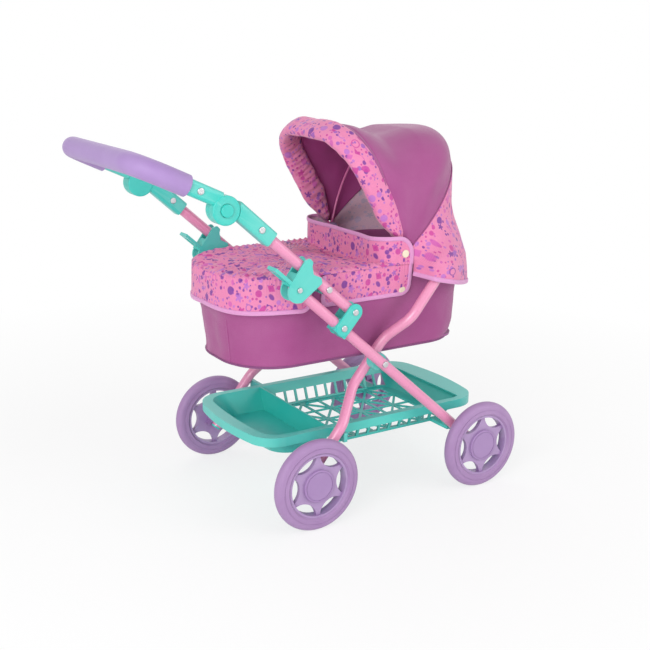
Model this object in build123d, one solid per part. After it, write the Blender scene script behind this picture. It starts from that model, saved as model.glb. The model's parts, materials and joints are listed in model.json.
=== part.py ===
from build123d import *
import os
from math import atan2, cos, degrees, radians, sin, tan

# Doll pram: X points to the hood end, Y to the left side, Z up, millimetres.
# The pieces are drawn about the floor point midway between the axles.
# They are moved at the end so that the origin lies under the middle of the whole object.

# Fits
RUN = 0.05          # radial running clearance of a pin or spigot in its bore
SEAT = 0.05         # gap between seated pieces that do not move on each other
AIR = 0.4           # gap between pieces that move past each other

# Wheels
WHEEL_D = 140.0
WHEELBASE = 307.0
TRACK = 335.2       # between the middle planes of the left and right wheels
TYRE_W = 20.0
TYRE_H = 21.0       # radial height of the foam tyre
TYRE_SEAM = 1.2     # width of the moulded seam groove round the tread
BAND_T = 3.2        # radial thickness of the rim band
BAND_W = 15.0
WEB_T = 7.0
OPENINGS = 6        # lens shaped openings of the web
LENS_R = 25.0
LENS_AT = 56.0      # radius of the circle of lens centres
BOSS_D = 24.0
BOSS_RIB_T = 2.5
BOSS_RIB_H = 9.0
CAP_D = 50.0
CAP_T = 4.0
CAP_GROOVE = 0.8
AXLE_D = 8.0
AXLE_HEAD_D = 13.0
AXLE_HEAD_T = 2.0
NUT_D = 14.0
NUT_T = 2.0

# Side tubes
TUBE_D = 16.0
TUBE_WALL = 1.2
WHEEL_INSET = 24.6  # from the middle plane of a wheel in to the middle plane of the side tubes
TUBE_OVERHANG = 13.0
PLUG_T = 3.0
PLUG_DEPTH = 3.0
FRONT_LEG_ANGLE = 41.5
FRONT_LEG_LENGTH = 445.0   # from the front axle to the upper end
CROSS_AT = 237.5           # scissor pivot, measured along the front leg from the axle
REAR_JOG = 31.0            # how far the rear leg steps in to pass the front leg
JOG_LOW = (94.0, 154.0)    # the lower step, measured along the rear leg from the axle
JOG_HIGH = (240.0, 285.0)  # the upper step
JOG_BEND_R = 42.0
REAR_LEG_LENGTH = 375.0    # from the rear axle to the cot pivot
BUSH_D = 26.0
CROSS_PIN_D = 6.0
RIVET_D = 6.0
RIVET_HEAD_D = 9.5
RIVET_HEAD_T = 2.0

# Upper tubes, parallel to the front legs at rest
TUBE_PITCH = 28.7          # from the front leg axis to the upper tube axis
BRACKET_AT = 339.0         # bracket rivets, measured along the front leg
BRACKET_W = 25.0
BRACKET_T = 3.2
UPPER_TUBE_LENGTH = 237.0
UPPER_TUBE_TAIL = 9.0
COT_RIVET_AT = 57.0        # hanger rivet, measured up the upper tube from its pivot

# Knuckle
KNUCKLE_AT = 261.0         # measured along the upper tube from its pivot
KNUCKLE_DROP = 11.7        # knuckle axis below the tube axis
KNUCKLE_D = 40.0
KNUCKLE_W = 24.0
SOCKET_H = 23.0
SOCKET_W = 22.0
SOCKET_LENGTH = 82.0       # from the knuckle axis to the mouth of the lower socket
SOCKET_ROUND = 5.0
SPIGOT_D = 23.0
SPIGOT_L = 5.5
BUTTON_D = 18.0
BUTTON_PROUD = 3.5
BUTTON_HEAD_T = 5.5
PLUNGER_D = 12.0
PLUNGER_L = 3.0
SPRING_POCKET_D = 13.0
SPRING_POCKET_DEPTH = 8.5
SPRING_D = 10.5
SPRING_WIRE = 1.0
SPRING_TURNS = 5

# Handle
HANDLE_RISE = 25.0         # slope of the handle arms, rising to the rear
HANDLE_REACH = 128.0       # from the knuckle axis to the crossbar axis
HANDLE_LIFT = 10.0         # handle tube axis above the knuckle axis
HANDLE_CORNER_R = 46.0
HANDLE_TUBE_FROM = 27.0
ARM_LENGTH = 61.0          # from the knuckle axis to the grip
ARM_H = 21.5
GRIP_D = 30.0

# Latch clips
LATCH_CHEEK_T = 3.0
LATCH_INSET = 7.0          # latch pin below the upper end of the front leg
LATCH_BOSS_D = 32.0
LATCH_TAB_REACH = 50.0
LATCH_TAB_T = 5.0
LATCH_TAB_SLOT = 11.0
LATCH_WEB_T = 2.6
LATCH_PIN_D = 5.0

# Basket
BASKET_REAR = -222.0
BASKET_FRONT = 200.0
BASKET_GAP = 28.0          # from the middle plane of the side tubes in to the basket
BASKET_TOP = 130.0
BASKET_FLOOR = 92.0
BASKET_WALL = 2.4
BASKET_TAPER = 15.0        # how far each side wall leans in at the floor
BASKET_END_TAPER = 26.0    # how far each end wall leans in at the floor
BASKET_CORNER_R = 34.0
BASKET_BOW = 16.0          # bulge of the two ends of the rim
FLANGE_W = 9.0
FLANGE_H = 14.0
BIN_WALL_AT = -98.0
LIP_AT = 160.0             # where the solid lip at the hood end begins
BAR_W = 4.0
BAR_PITCH = 19.0
FLOOR_BAYS = 7
FLOOR_ROWS = 4
LUG_AT = 46.0              # front lugs, measured along the front leg from the axle
LUG_T = 5.0
LUG_H = 16.0
LUG_HOLE_D = 4.0
SCREW_HEAD_D = 8.0
SCREW_HEAD_T = 2.0
HOOK_T = 6.0

# Cot
COT_TOP = 375.0
COT_BOTTOM = 229.0
COT_REAR = -246.0
COT_FRONT = 190.0
COT_GAP = 27.0             # from the middle plane of the side tubes in to the top edge of the cot
COT_SIDE_TAPER = 22.0
COT_REAR_TAPER = 31.0
COT_FRONT_TAPER = 26.0
COT_REAR_R = 92.0
COT_FRONT_R = 58.0
COT_CLOTH = 3.0
BOARD_T = 4.0
RIM_WIRE_D = 6.0
RIM_WIRE_DROP = 8.0        # rim wire axis below the top edge of the cot
HANGER_D = 18.0
COT_PIN_D = 6.0

# Cover over the foot of the cot
COVER_CLOTH = 2.4
COVER_CROWN = 9.0
COVER_CROWN_IN = 34.0
COVER_DROP = 56.0          # from the top of the cot down to the hem
COVER_FRONT = 22.0         # front edge of the covered part
WING_FRONT = 44.0          # front edge of the two side wings
FLAP_TOP = 408.0
FLAP_CORNER_R = 22.0
NOTCH_W = 26.0             # slit of the hanging cloth round a hanger of the cot
POPPER_D = 12.0
POPPER_T = 1.6
POPPER_X = 31.0
POPPER_Z = (327.0, 384.0)

# Hood
HOOD_PIVOT = (40.0, 388.0)
HOOD_TOP = 563.0
HOOD_FRONT = 187.0
HOOD_OVER = 0.2            # how far the hood stands out beyond the cot on each side
HOOD_ARCH_R = 82.0
HOOD_BACK_R = 74.0
HOOD_PLAN_R = 96.0
HOOD_CLOTH = 2.2
RIM_LEAN = 30.0
RIM_REACH = 204.0          # from the pivot to the crown of the front roll
ROLL_W = 36.0
ROLL_T = 17.0
ROLL_FROM = 40.0           # from the pivot to the lower end of the roll
MID_LEAN = -14.0
BOW_D = 4.0
BOW_GAP = 12.2             # from the side of the hood in to the front bow
EYE_D = 10.0
EYE_T = 4.6
HOOD_PIN_D = 4.0
EAR_D = 18.0
EAR_T = 3.0
DRAPE_CLOTH = 2.4
DRAPE_HEM = 316.0          # hem at the back of the hood
DRAPE_HEM_SIDE = 356.0     # hem at the lower front corner
DRAPE_EDGE_X = 28.0        # lower front corner of the drape
DRAPE_FLARE_FROM = 440.0   # where the drape leaves the hood
DRAPE_FLARE_TO = 378.0     # where it clears the ends of the rear legs
DRAPE_BACK = (8.0, 13.0)   # how far the back hangs out, at the end of the flare and at the hem
DRAPE_PLAN_R = 112.0
DRAPE_EDGE = 58.0          # slope of the front edge of the drape, from the pivot

# Worked out places
WHEEL_R = WHEEL_D / 2
TUBE_R = TUBE_D / 2
RIM_R = WHEEL_R - TYRE_H
FRONT_AXLE = (WHEELBASE / 2, WHEEL_R)
REAR_AXLE = (-WHEELBASE / 2, WHEEL_R)
LEG_DIR = (-cos(radians(FRONT_LEG_ANGLE)), sin(radians(FRONT_LEG_ANGLE)))
LEG_UP = (sin(radians(FRONT_LEG_ANGLE)), cos(radians(FRONT_LEG_ANGLE)))
LATCH_AT = FRONT_LEG_LENGTH - LATCH_INSET
SIDE_Y = TRACK / 2 - WHEEL_INSET           # middle plane of the side tubes, from the centre
BASKET_HALF_W = SIDE_Y - BASKET_GAP
COT_HALF_W = SIDE_Y - COT_GAP
HOOD_HALF_W = COT_HALF_W + HOOD_OVER
BOW_HALF_W = HOOD_HALF_W - BOW_GAP
DRAPE_HALF_W = SIDE_Y + TUBE_R + RIVET_HEAD_T + AIR


def along(start, direction, distance, normal=(0.0, 0.0), rise=0.0):
    """Point in the X-Z plane reached from start along a direction and a normal."""
    x = start[0] + direction[0] * distance + normal[0] * rise
    z = start[1] + direction[1] * distance + normal[1] * rise
    return (x, z)


CROSS = along(FRONT_AXLE, LEG_DIR, CROSS_AT)
REAR_LEG_ANGLE = degrees(atan2(CROSS[1] - REAR_AXLE[1], CROSS[0] - REAR_AXLE[0]))
REAR_DIR = (cos(radians(REAR_LEG_ANGLE)), sin(radians(REAR_LEG_ANGLE)))
COT_PIVOT = along(REAR_AXLE, REAR_DIR, REAR_LEG_LENGTH)
BRACKET_LOW = along(FRONT_AXLE, LEG_DIR, BRACKET_AT)
FOLD_PIVOT = along(BRACKET_LOW, LEG_UP, TUBE_PITCH)
COT_RIVET = along(FOLD_PIVOT, LEG_DIR, COT_RIVET_AT)
KNUCKLE = along(FOLD_PIVOT, LEG_DIR, KNUCKLE_AT, LEG_UP, -KNUCKLE_DROP)
ARM_DIR = (-cos(radians(HANDLE_RISE)), sin(radians(HANDLE_RISE)))
ARM_UP = (sin(radians(HANDLE_RISE)), cos(radians(HANDLE_RISE)))
CROSSBAR = along(KNUCKLE, ARM_DIR, HANDLE_REACH, ARM_UP, HANDLE_LIFT)
LATCH_PIN = along(FRONT_AXLE, LEG_DIR, LATCH_AT)
LUG = along(FRONT_AXLE, LEG_DIR, LUG_AT)
RIM_DIR = (-sin(radians(RIM_LEAN)), cos(radians(RIM_LEAN)))
RIM_BACK = (cos(radians(RIM_LEAN)), sin(radians(RIM_LEAN)))
MID_DIR = (-sin(radians(MID_LEAN)), cos(radians(MID_LEAN)))
COT_HEIGHT = COT_TOP - COT_BOTTOM
MID_BOW_HALF_W = BOW_HALF_W + EYE_T + AIR
MID_REACH = (HOOD_TOP - HOOD_CLOTH - AIR - BOW_D / 2 - HOOD_PIVOT[1]) / cos(radians(MID_LEAN))
HUB_INNER = SIDE_Y + TUBE_R + AIR          # inboard end of the wheel boss
KNUCKLE_FACE = SIDE_Y                      # where the two halves of a knuckle meet
KNUCKLE_OUT = SIDE_Y + KNUCKLE_W / 2
KNUCKLE_IN = SIDE_Y - KNUCKLE_W / 2
CENTRE_X = (WHEELBASE / 2 + WHEEL_R + CROSSBAR[0] - GRIP_D / 2) / 2


def plate(sketch, y_from, y_to):
    """Solid of a sketch drawn in X-Z, between two distances from the centre plane on the right side."""
    low, high = sorted((-y_from, -y_to))
    return extrude(Plane.XZ.offset(-high) * sketch, amount=high - low, dir=(0, -1, 0))


def rod(centre, diameter, y_from, y_to):
    """Cylinder across the pram, on the right side."""
    return plate(Pos(*centre) * Circle(diameter / 2), y_from, y_to)


def on_tube(centre, slope, sketch):
    """Set a sketch into X-Z with its X axis down a sloping tube and its Y axis square to it, upward."""
    return Pos(*centre) * Rot(0, 0, -slope) * sketch


def strip(s_from, s_to, n_from, n_to):
    """Rectangle between two places up a tube and two heights above its axis, for on_tube."""
    middle = Pos(-(s_from + s_to) / 2, (n_from + n_to) / 2)
    return middle * Rectangle(s_to - s_from, n_to - n_from)


def round_bar(start, end, diameter, y):
    """Round bar between two X-Z points at a distance y from the centre plane on the right side."""
    foot = Vector(start[0], -y, start[1])
    reach = Vector(end[0], -y, end[1]) - foot
    section = Plane(origin=foot, z_dir=reach) * Circle(diameter / 2)
    return extrude(section, amount=reach.length)


def pipe(path, diameter):
    """Round bar along a path."""
    return sweep(Plane(origin=path @ 0, z_dir=path % 0) * Circle(diameter / 2), path=path)


def left_of(shape):
    """The mirrored piece of the left side."""
    return mirror(shape, about=Plane.XZ)


def both(*shapes):
    """One group with the given right-hand solids and their mirrored twins."""
    return Compound(children=[*shapes, *(left_of(s) for s in shapes)])


def rivet(centre, y_from, y_to, diameter=RIVET_D, head=RIVET_HEAD_D):
    """Rivet through a tube, with a domed head at both ends."""
    shank = rod(centre, diameter, y_from, y_to)
    heads = rod(centre, head, y_to, y_to + RIVET_HEAD_T) + rod(centre, head, y_from - RIVET_HEAD_T, y_from)
    rims = heads.faces().filter_by(Axis.Y).sort_by(Axis.Y)
    heads = fillet([rims[0].edges()[0], rims[-1].edges()[0]], RIVET_HEAD_T * 0.6)
    return shank + heads


def wheel_pieces():
    """Rim, tyre and cap of one wheel about Z, outboard side up."""
    half = TYRE_W / 2
    bulge = TYRE_H * 0.62
    profile = Polyline((RIM_R + SEAT, -half + 3), (RIM_R + SEAT, half - 3), (RIM_R + 3, half))
    profile += Line((RIM_R + 3, half), (RIM_R + bulge, half - 1))
    profile += ThreePointArc((RIM_R + bulge, half - 1), (WHEEL_R, 0), (RIM_R + bulge, -half + 1))
    profile += Line((RIM_R + bulge, -half + 1), (RIM_R + 3, -half))
    profile += Line((RIM_R + 3, -half), (RIM_R + SEAT, -half + 3))
    tyre = revolve(Plane.XZ * make_face(profile), axis=Axis.Z)
    seam_at = RIM_R + bulge - 3
    groove = Cylinder(seam_at, 2 * TYRE_SEAM) - Cylinder(seam_at - TYRE_SEAM, 2 * TYRE_SEAM)
    for side in (half, -half):
        tyre -= Pos(0, 0, side) * groove
    web_top = WEB_T / 2 + 1
    web = Circle(RIM_R - BAND_T / 2)
    lens = Circle(RIM_R - BAND_T) & (Pos(LENS_AT, 0) * Circle(LENS_R))
    for i in range(OPENINGS):
        web -= Rot(0, 0, 360 / OPENINGS * i) * lens
    rim = extrude(Plane.XY.offset(web_top - WEB_T) * web, amount=WEB_T)
    band = Circle(RIM_R) - Circle(RIM_R - BAND_T)
    rim += extrude(Plane.XY.offset(-BAND_W / 2) * band, amount=BAND_W)
    boss_low = HUB_INNER - TRACK / 2
    rim += extrude(Plane.XY.offset(boss_low) * Circle(BOSS_D / 2), amount=web_top - boss_low)
    rib = Pos(BOSS_D / 2 + BOSS_RIB_H / 2 - 1, 0, (web_top - WEB_T + boss_low) / 2 + 1)
    rib *= Box(BOSS_RIB_H, BOSS_RIB_T, web_top - WEB_T - boss_low - 2)
    for i in range(OPENINGS):
        rim += Rot(0, 0, 360 / OPENINGS * (i + 0.5)) * rib
    rim -= Cylinder(AXLE_D / 2 + RUN, TRACK)
    nut_room = Circle(NUT_D / 2 + AIR)
    rim -= extrude(Plane.XY.offset(web_top - NUT_T - 2 * AIR) * nut_room, amount=WEB_T)
    cap = extrude(Plane.XY.offset(web_top) * Circle(CAP_D / 2), amount=CAP_T)
    cap = fillet(cap.edges().sort_by(Axis.Z)[-1], CAP_T * 0.3)
    ring = Circle(CAP_D / 2 - 3) - Circle(CAP_D / 2 - 3 - CAP_GROOVE)
    cap -= extrude(Plane.XY.offset(web_top + CAP_T - CAP_GROOVE) * ring, amount=CAP_T)
    cap -= extrude(Plane.XY.offset(web_top) * nut_room, amount=CAP_T / 2)
    return {"rim": rim, "tyre": tyre, "cap": cap}


def axle_pin(axle):
    """Stub axle of one wheel: a pin through the leg with a head inside."""
    inner = SIDE_Y - TUBE_R - AXLE_HEAD_T
    tip = TRACK / 2 + WEB_T / 2 + 1
    return rod(axle, AXLE_HEAD_D, inner, inner + AXLE_HEAD_T) + rod(axle, AXLE_D, inner, tip)


def axle_nut(axle):
    """Push-on nut that keeps a wheel on its stub axle."""
    top = TRACK / 2 + WEB_T / 2 + 1 - AIR
    return rod(axle, NUT_D, top - NUT_T, top) - rod(axle, AXLE_D + 2 * SEAT, top - NUT_T, top)


def end_plug(axle, direction):
    """Plug that closes the lower end of a leg."""
    end = along(axle, direction, -TUBE_OVERHANG)
    lip = along(axle, direction, -TUBE_OVERHANG - PLUG_T)
    inside = along(axle, direction, -TUBE_OVERHANG + PLUG_DEPTH)
    plug = round_bar(lip, end, TUBE_D, SIDE_Y)
    plug = fillet(plug.edges().filter_by(GeomType.CIRCLE).sort_by(Axis.Z)[0], PLUG_T * 0.6)
    return plug + round_bar(end, inside, TUBE_D - 2 * TUBE_WALL - 2 * SEAT, SIDE_Y)


def front_leg():
    """Straight front leg tube, from the front axle up to the latch clip."""
    low = along(FRONT_AXLE, LEG_DIR, -TUBE_OVERHANG)
    high = along(FRONT_AXLE, LEG_DIR, FRONT_LEG_LENGTH)
    leg = round_bar(low, high, TUBE_D, SIDE_Y)
    leg -= round_bar(low, high, TUBE_D - 2 * TUBE_WALL, SIDE_Y)
    holes = {FRONT_AXLE: AXLE_D, CROSS: CROSS_PIN_D, BRACKET_LOW: RIVET_D, LATCH_PIN: LATCH_PIN_D}
    holes[LUG] = LUG_HOLE_D
    for place, diameter in holes.items():
        leg -= rod(place, diameter + 2 * SEAT, 0, TRACK)
    return leg


def rear_leg():
    """Rear leg tube, which steps inward to pass the front leg at the scissor pivot."""
    inner = SIDE_Y - REAR_JOG
    stations = [(-TUBE_OVERHANG, SIDE_Y), (JOG_LOW[0], SIDE_Y), (JOG_LOW[1], inner)]
    stations += [(JOG_HIGH[0], inner), (JOG_HIGH[1], SIDE_Y), (REAR_LEG_LENGTH + TUBE_OVERHANG, SIDE_Y)]
    points = []
    for distance, y in stations:
        x, z = along(REAR_AXLE, REAR_DIR, distance)
        points.append((x, -y, z))
    path = FilletPolyline(*points, radius=JOG_BEND_R)
    leg = pipe(path, TUBE_D) - pipe(path, TUBE_D - 2 * TUBE_WALL)
    leg -= rod(REAR_AXLE, AXLE_D + 2 * SEAT, 0, TRACK)
    leg -= rod(CROSS, CROSS_PIN_D + 2 * RUN, 0, TRACK)
    leg -= rod(COT_PIVOT, COT_PIN_D + 2 * SEAT, 0, TRACK)
    return leg


def cross_bush():
    """Spacer between the front leg and the rear leg at the scissor pivot."""
    outer = SIDE_Y - TUBE_R
    inner = SIDE_Y - REAR_JOG + TUBE_R + AIR
    bush = rod(CROSS, BUSH_D, inner, outer) - rod(CROSS, CROSS_PIN_D + 2 * SEAT, inner, outer)
    leg = round_bar(FRONT_AXLE, LATCH_PIN, TUBE_D + 2 * SEAT, SIDE_Y)
    return bush - leg


def cross_pin():
    """Rivet of the scissor pivot."""
    return rivet(CROSS, SIDE_Y - REAR_JOG - TUBE_R - AIR, SIDE_Y + TUBE_R, CROSS_PIN_D, RIVET_HEAD_D)


def fold_bracket():
    """Link plate pair that joins the upper tube to the front leg."""
    middle = along(BRACKET_LOW, LEG_UP, TUBE_PITCH / 2)
    outline = on_tube(middle, FRONT_LEG_ANGLE - 90, SlotCenterToCenter(TUBE_PITCH, BRACKET_W))
    outer = SIDE_Y + TUBE_R + AIR + BRACKET_T
    inner = SIDE_Y - TUBE_R - AIR - BRACKET_T
    body = plate(outline, outer - BRACKET_T, outer) + plate(outline, inner, inner + BRACKET_T)
    by_y = body.faces().sort_by(Axis.Y)
    rims = by_y[0].outer_wire().edges() + by_y[-1].outer_wire().edges()
    body = fillet(rims, BRACKET_T * 0.45)
    wall = BRACKET_W / 2
    saddle = on_tube(BRACKET_LOW, FRONT_LEG_ANGLE, strip(-wall, wall, -TUBE_R - BRACKET_T, TUBE_R + AIR))
    body += plate(saddle, inner + BRACKET_T / 2, outer - BRACKET_T / 2)
    leg = round_bar(FRONT_AXLE, along(FRONT_AXLE, LEG_DIR, FRONT_LEG_LENGTH), TUBE_D + 2 * SEAT, SIDE_Y)
    body -= leg
    for place in (BRACKET_LOW, FOLD_PIVOT):
        body -= rod(place, RIVET_D + 2 * SEAT, 0, TRACK)
    return body


def bracket_rivet(place):
    """Rivet through both plates of the fold bracket."""
    reach = TUBE_R + AIR + BRACKET_T
    return rivet(place, SIDE_Y - reach, SIDE_Y + reach)


def upper_tube():
    """Tube from the fold pivot up to the knuckle."""
    low = along(FOLD_PIVOT, LEG_DIR, -UPPER_TUBE_TAIL)
    high = along(FOLD_PIVOT, LEG_DIR, UPPER_TUBE_LENGTH)
    tube = round_bar(low, high, TUBE_D, SIDE_Y) - round_bar(low, high, TUBE_D - 2 * TUBE_WALL, SIDE_Y)
    tube -= rod(FOLD_PIVOT, RIVET_D + 2 * RUN, 0, TRACK)
    tube -= rod(COT_RIVET, RIVET_D + 2 * SEAT, 0, TRACK)
    tube -= rod(socket_rivet_place(), RIVET_D + 2 * SEAT, 0, TRACK)
    return tube


def socket_rivet_place():
    """Rivet that holds the upper tube in its socket."""
    return along(FOLD_PIVOT, LEG_DIR, KNUCKLE_AT - SOCKET_LENGTH + SOCKET_H)


def arm_rivet_place():
    """Rivet that holds the handle tube in its arm."""
    return along(KNUCKLE, ARM_DIR, ARM_LENGTH - ARM_H * 0.75, ARM_UP, HANDLE_LIFT)


def rounded_sleeve(slope, s_from, s_to, rise, height):
    """Rounded box round a tube end, drawn up the tube from the knuckle axis."""
    outline = on_tube(KNUCKLE, slope, strip(s_from, s_to, rise - height / 2, rise + height / 2))
    body = plate(outline, SIDE_Y - SOCKET_W / 2, SIDE_Y + SOCKET_W / 2)
    direction = Vector(-cos(radians(slope)), 0, sin(radians(slope)))
    edges = [e for e in body.edges() if abs(abs((e % 0.5).dot(direction)) - 1) < 1e-6]
    return fillet(edges, SOCKET_ROUND)


def knuckle_socket():
    """Lower half of a knuckle: inner disc, spigot and the socket of the upper tube."""
    body = rounded_sleeve(FRONT_LEG_ANGLE, -SOCKET_LENGTH, -KNUCKLE_D * 0.3, KNUCKLE_DROP, SOCKET_H)
    body -= rod(KNUCKLE, KNUCKLE_D + 2 * AIR, KNUCKLE_FACE - AIR / 2, TRACK)
    disc = rod(KNUCKLE, KNUCKLE_D, KNUCKLE_IN, KNUCKLE_FACE - AIR / 2)
    disc = fillet(disc.edges().sort_by(Axis.Y)[-1], 2.0)
    body += disc
    body += rod(KNUCKLE, SPIGOT_D, KNUCKLE_FACE - AIR, KNUCKLE_FACE + SPIGOT_L)
    body -= rod(KNUCKLE, SPRING_POCKET_D, KNUCKLE_FACE - SPRING_POCKET_DEPTH, TRACK)
    tube_end = along(FOLD_PIVOT, LEG_DIR, UPPER_TUBE_LENGTH + SEAT)
    body -= round_bar(FOLD_PIVOT, tube_end, TUBE_D + 2 * SEAT, SIDE_Y)
    body -= rod(socket_rivet_place(), RIVET_D + 2 * SEAT, 0, TRACK)
    return body


def handle_arm():
    """Upper half of a knuckle: outer disc with the button bore, and the sleeve of the handle tube."""
    body = rounded_sleeve(HANDLE_RISE, KNUCKLE_D * 0.3, ARM_LENGTH, HANDLE_LIFT, ARM_H)
    body -= rod(KNUCKLE, KNUCKLE_D + 2 * AIR, 0, KNUCKLE_FACE + AIR / 2)
    disc = rod(KNUCKLE, KNUCKLE_D, KNUCKLE_FACE + AIR / 2, KNUCKLE_OUT)
    disc = fillet(disc.edges().sort_by(Axis.Y)[0], 2.0)
    body += disc
    body -= rod(KNUCKLE, SPIGOT_D + 2 * RUN, 0, KNUCKLE_FACE + SPIGOT_L + AIR)
    body -= rod(KNUCKLE, BUTTON_D + 2 * AIR, 0, TRACK)
    tube_end = along(KNUCKLE, ARM_DIR, HANDLE_TUBE_FROM - SEAT, ARM_UP, HANDLE_LIFT)
    body -= round_bar(tube_end, CROSSBAR, TUBE_D + 2 * SEAT, SIDE_Y)
    body -= rod(arm_rivet_place(), RIVET_D + 2 * SEAT, 0, TRACK)
    return body


def knuckle_button():
    """Push button in the middle of a knuckle."""
    top = KNUCKLE_OUT + BUTTON_PROUD
    head = rod(KNUCKLE, BUTTON_D, top - BUTTON_HEAD_T, top)
    head = fillet(head.edges().sort_by(Axis.Y)[0], 1.6)
    return head + rod(KNUCKLE, PLUNGER_D, top - BUTTON_HEAD_T - PLUNGER_L, top)


def button_spring():
    """Coil spring under a push button, one unbroken wire."""
    low = KNUCKLE_FACE - SPRING_POCKET_DEPTH + SPRING_WIRE
    high = KNUCKLE_OUT + BUTTON_PROUD - BUTTON_HEAD_T - PLUNGER_L - SPRING_WIRE
    coil = Helix((high - low) / SPRING_TURNS, high - low, (SPRING_D - SPRING_WIRE) / 2)
    return Pos(KNUCKLE[0], -low, KNUCKLE[1]) * Rot(90, 0, 0) * pipe(coil, SPRING_WIRE)


def handle_path(from_s):
    """Line of the handle tube, from one arm round both corners to the other arm."""
    start = along(KNUCKLE, ARM_DIR, from_s, ARM_UP, HANDLE_LIFT)
    points = [(start[0], -SIDE_Y, start[1]), (CROSSBAR[0], -SIDE_Y, CROSSBAR[1])]
    points += [(CROSSBAR[0], SIDE_Y, CROSSBAR[1]), (start[0], SIDE_Y, start[1])]
    return FilletPolyline(*points, radius=HANDLE_CORNER_R)


def handle_tube():
    """Bent tube inside the grip."""
    path = handle_path(HANDLE_TUBE_FROM)
    tube = pipe(path, TUBE_D) - pipe(path, TUBE_D - 2 * TUBE_WALL)
    hole = rod(arm_rivet_place(), RIVET_D + 2 * SEAT, 0, TRACK)
    return tube - hole - left_of(hole)


def handle_grip():
    """Foam sleeve over the whole bend of the handle."""
    path = handle_path(ARM_LENGTH + SEAT)
    return pipe(path, GRIP_D) - pipe(path, TUBE_D + 2 * SEAT)


def tube_rivet(place, reach):
    """Rivet across a tube and what it sits in."""
    return rivet(place, SIDE_Y - reach, SIDE_Y + reach)


def latch_part(sketch, y_from, y_to):
    """Plate of a latch clip, drawn about its pin."""
    return plate(on_tube(LATCH_PIN, FRONT_LEG_ANGLE, sketch), y_from, y_to)


def latch():
    """Snap clip on the upper end of a front leg: two cheeks that straddle the upper tube, and a thumb tab."""
    boss = LATCH_BOSS_D / 2
    top = TUBE_PITCH + TUBE_R
    outline = [(14, 2 - boss), (24, TUBE_PITCH), (17, top - 3), (4, TUBE_PITCH + 1), (-6, top + 1)]
    outline += [(-8, top + 6), (-16, top + 7), (-20, top), (-18, boss - 4), (-boss, -6)]
    cheek = fillet(Polygon(*outline, align=None).vertices(), LATCH_CHEEK_T) + Pos(0, -3) * Circle(boss)
    reach = TUBE_R + AIR
    wide = reach + LATCH_CHEEK_T
    body = latch_part(cheek, SIDE_Y + reach, SIDE_Y + wide) + latch_part(cheek, SIDE_Y - wide, SIDE_Y - reach)
    web_low = (TUBE_PITCH - LATCH_WEB_T) / 2
    back_at = boss - 1
    web = strip(-2, back_at, web_low, web_low + LATCH_WEB_T)
    back = strip(back_at, back_at + LATCH_WEB_T, -LATCH_TAB_T, web_low + LATCH_WEB_T)
    tab = strip(back_at, LATCH_TAB_REACH, -LATCH_TAB_T / 2, LATCH_TAB_T / 2)
    for piece in (web, back, tab):
        body += latch_part(piece, SIDE_Y - wide, SIDE_Y + wide)
    slot = strip(back_at + 3 * LATCH_WEB_T, LATCH_TAB_REACH - 3 * LATCH_WEB_T, -LATCH_TAB_T, LATCH_TAB_T)
    body -= latch_part(slot, SIDE_Y - LATCH_TAB_SLOT / 2, SIDE_Y + LATCH_TAB_SLOT / 2)
    return body - rod(LATCH_PIN, LATCH_PIN_D + 2 * RUN, 0, TRACK)


def latch_pin():
    """Pin of a latch clip through the front leg."""
    reach = TUBE_R + AIR + LATCH_CHEEK_T + AIR
    return rivet(LATCH_PIN, SIDE_Y - reach, SIDE_Y + reach, LATCH_PIN_D, LATCH_PIN_D + 3)


def bowed_outline(rear, front, half_w, corner, bow):
    """Tray outline with straight sides, rounded corners and two bowed ends."""
    sides = Line((rear, half_w), (front, half_w))
    head = ThreePointArc((front, half_w), (front + bow, 0), (front, -half_w))
    near = Line((front, -half_w), (rear, -half_w))
    foot = ThreePointArc((rear, -half_w), (rear - bow, 0), (rear, half_w))
    face = make_face(sides + head + near + foot)
    return fillet(face.vertices(), corner)


def tray(inset, top, bottom):
    """Solid tray body whose walls lean in towards the floor."""
    rear = BASKET_REAR + BASKET_BOW + FLANGE_W
    front = BASKET_FRONT - BASKET_BOW - FLANGE_W
    half_w = BASKET_HALF_W - FLANGE_W
    corner = BASKET_CORNER_R - inset
    upper = bowed_outline(rear + inset, front - inset, half_w - inset, corner, BASKET_BOW / 2)
    lean = BASKET_END_TAPER + inset
    lower = bowed_outline(rear + lean, front - lean, half_w - BASKET_TAPER - inset, corner, BASKET_BOW / 2)
    return loft([Plane.XY.offset(bottom) * lower, Plane.XY.offset(top) * upper], ruled=True)


def floor_lattice():
    """Open cells of the basket floor: a triangle lattice between the bin and the lip."""
    start = BIN_WALL_AT + BAR_W
    end = LIP_AT - BASKET_END_TAPER
    width = 2 * (BASKET_HALF_W - FLANGE_W - BASKET_TAPER - 2 * BAR_W)
    bay = (end - start) / FLOOR_BAYS
    row = width / FLOOR_ROWS
    cells = []
    for i in range(FLOOR_BAYS):
        for j in range(FLOOR_ROWS):
            x0 = start + i * bay
            y0 = -width / 2 + j * row
            corners = [(x0, y0), (x0 + bay, y0), (x0 + bay, y0 + row), (x0, y0 + row)]
            if (i + j) % 2:
                corners = corners[1:] + corners[:1]
            for triangle in (corners[:3], [corners[2], corners[3], corners[0]]):
                cell = offset(Polygon(*triangle, align=None), amount=-BAR_W / 2, kind=Kind.INTERSECTION)
                cells.append(extrude(Plane.XY.offset(BASKET_FLOOR - BAR_W) * cell, amount=3 * BAR_W))
    return cells


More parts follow.
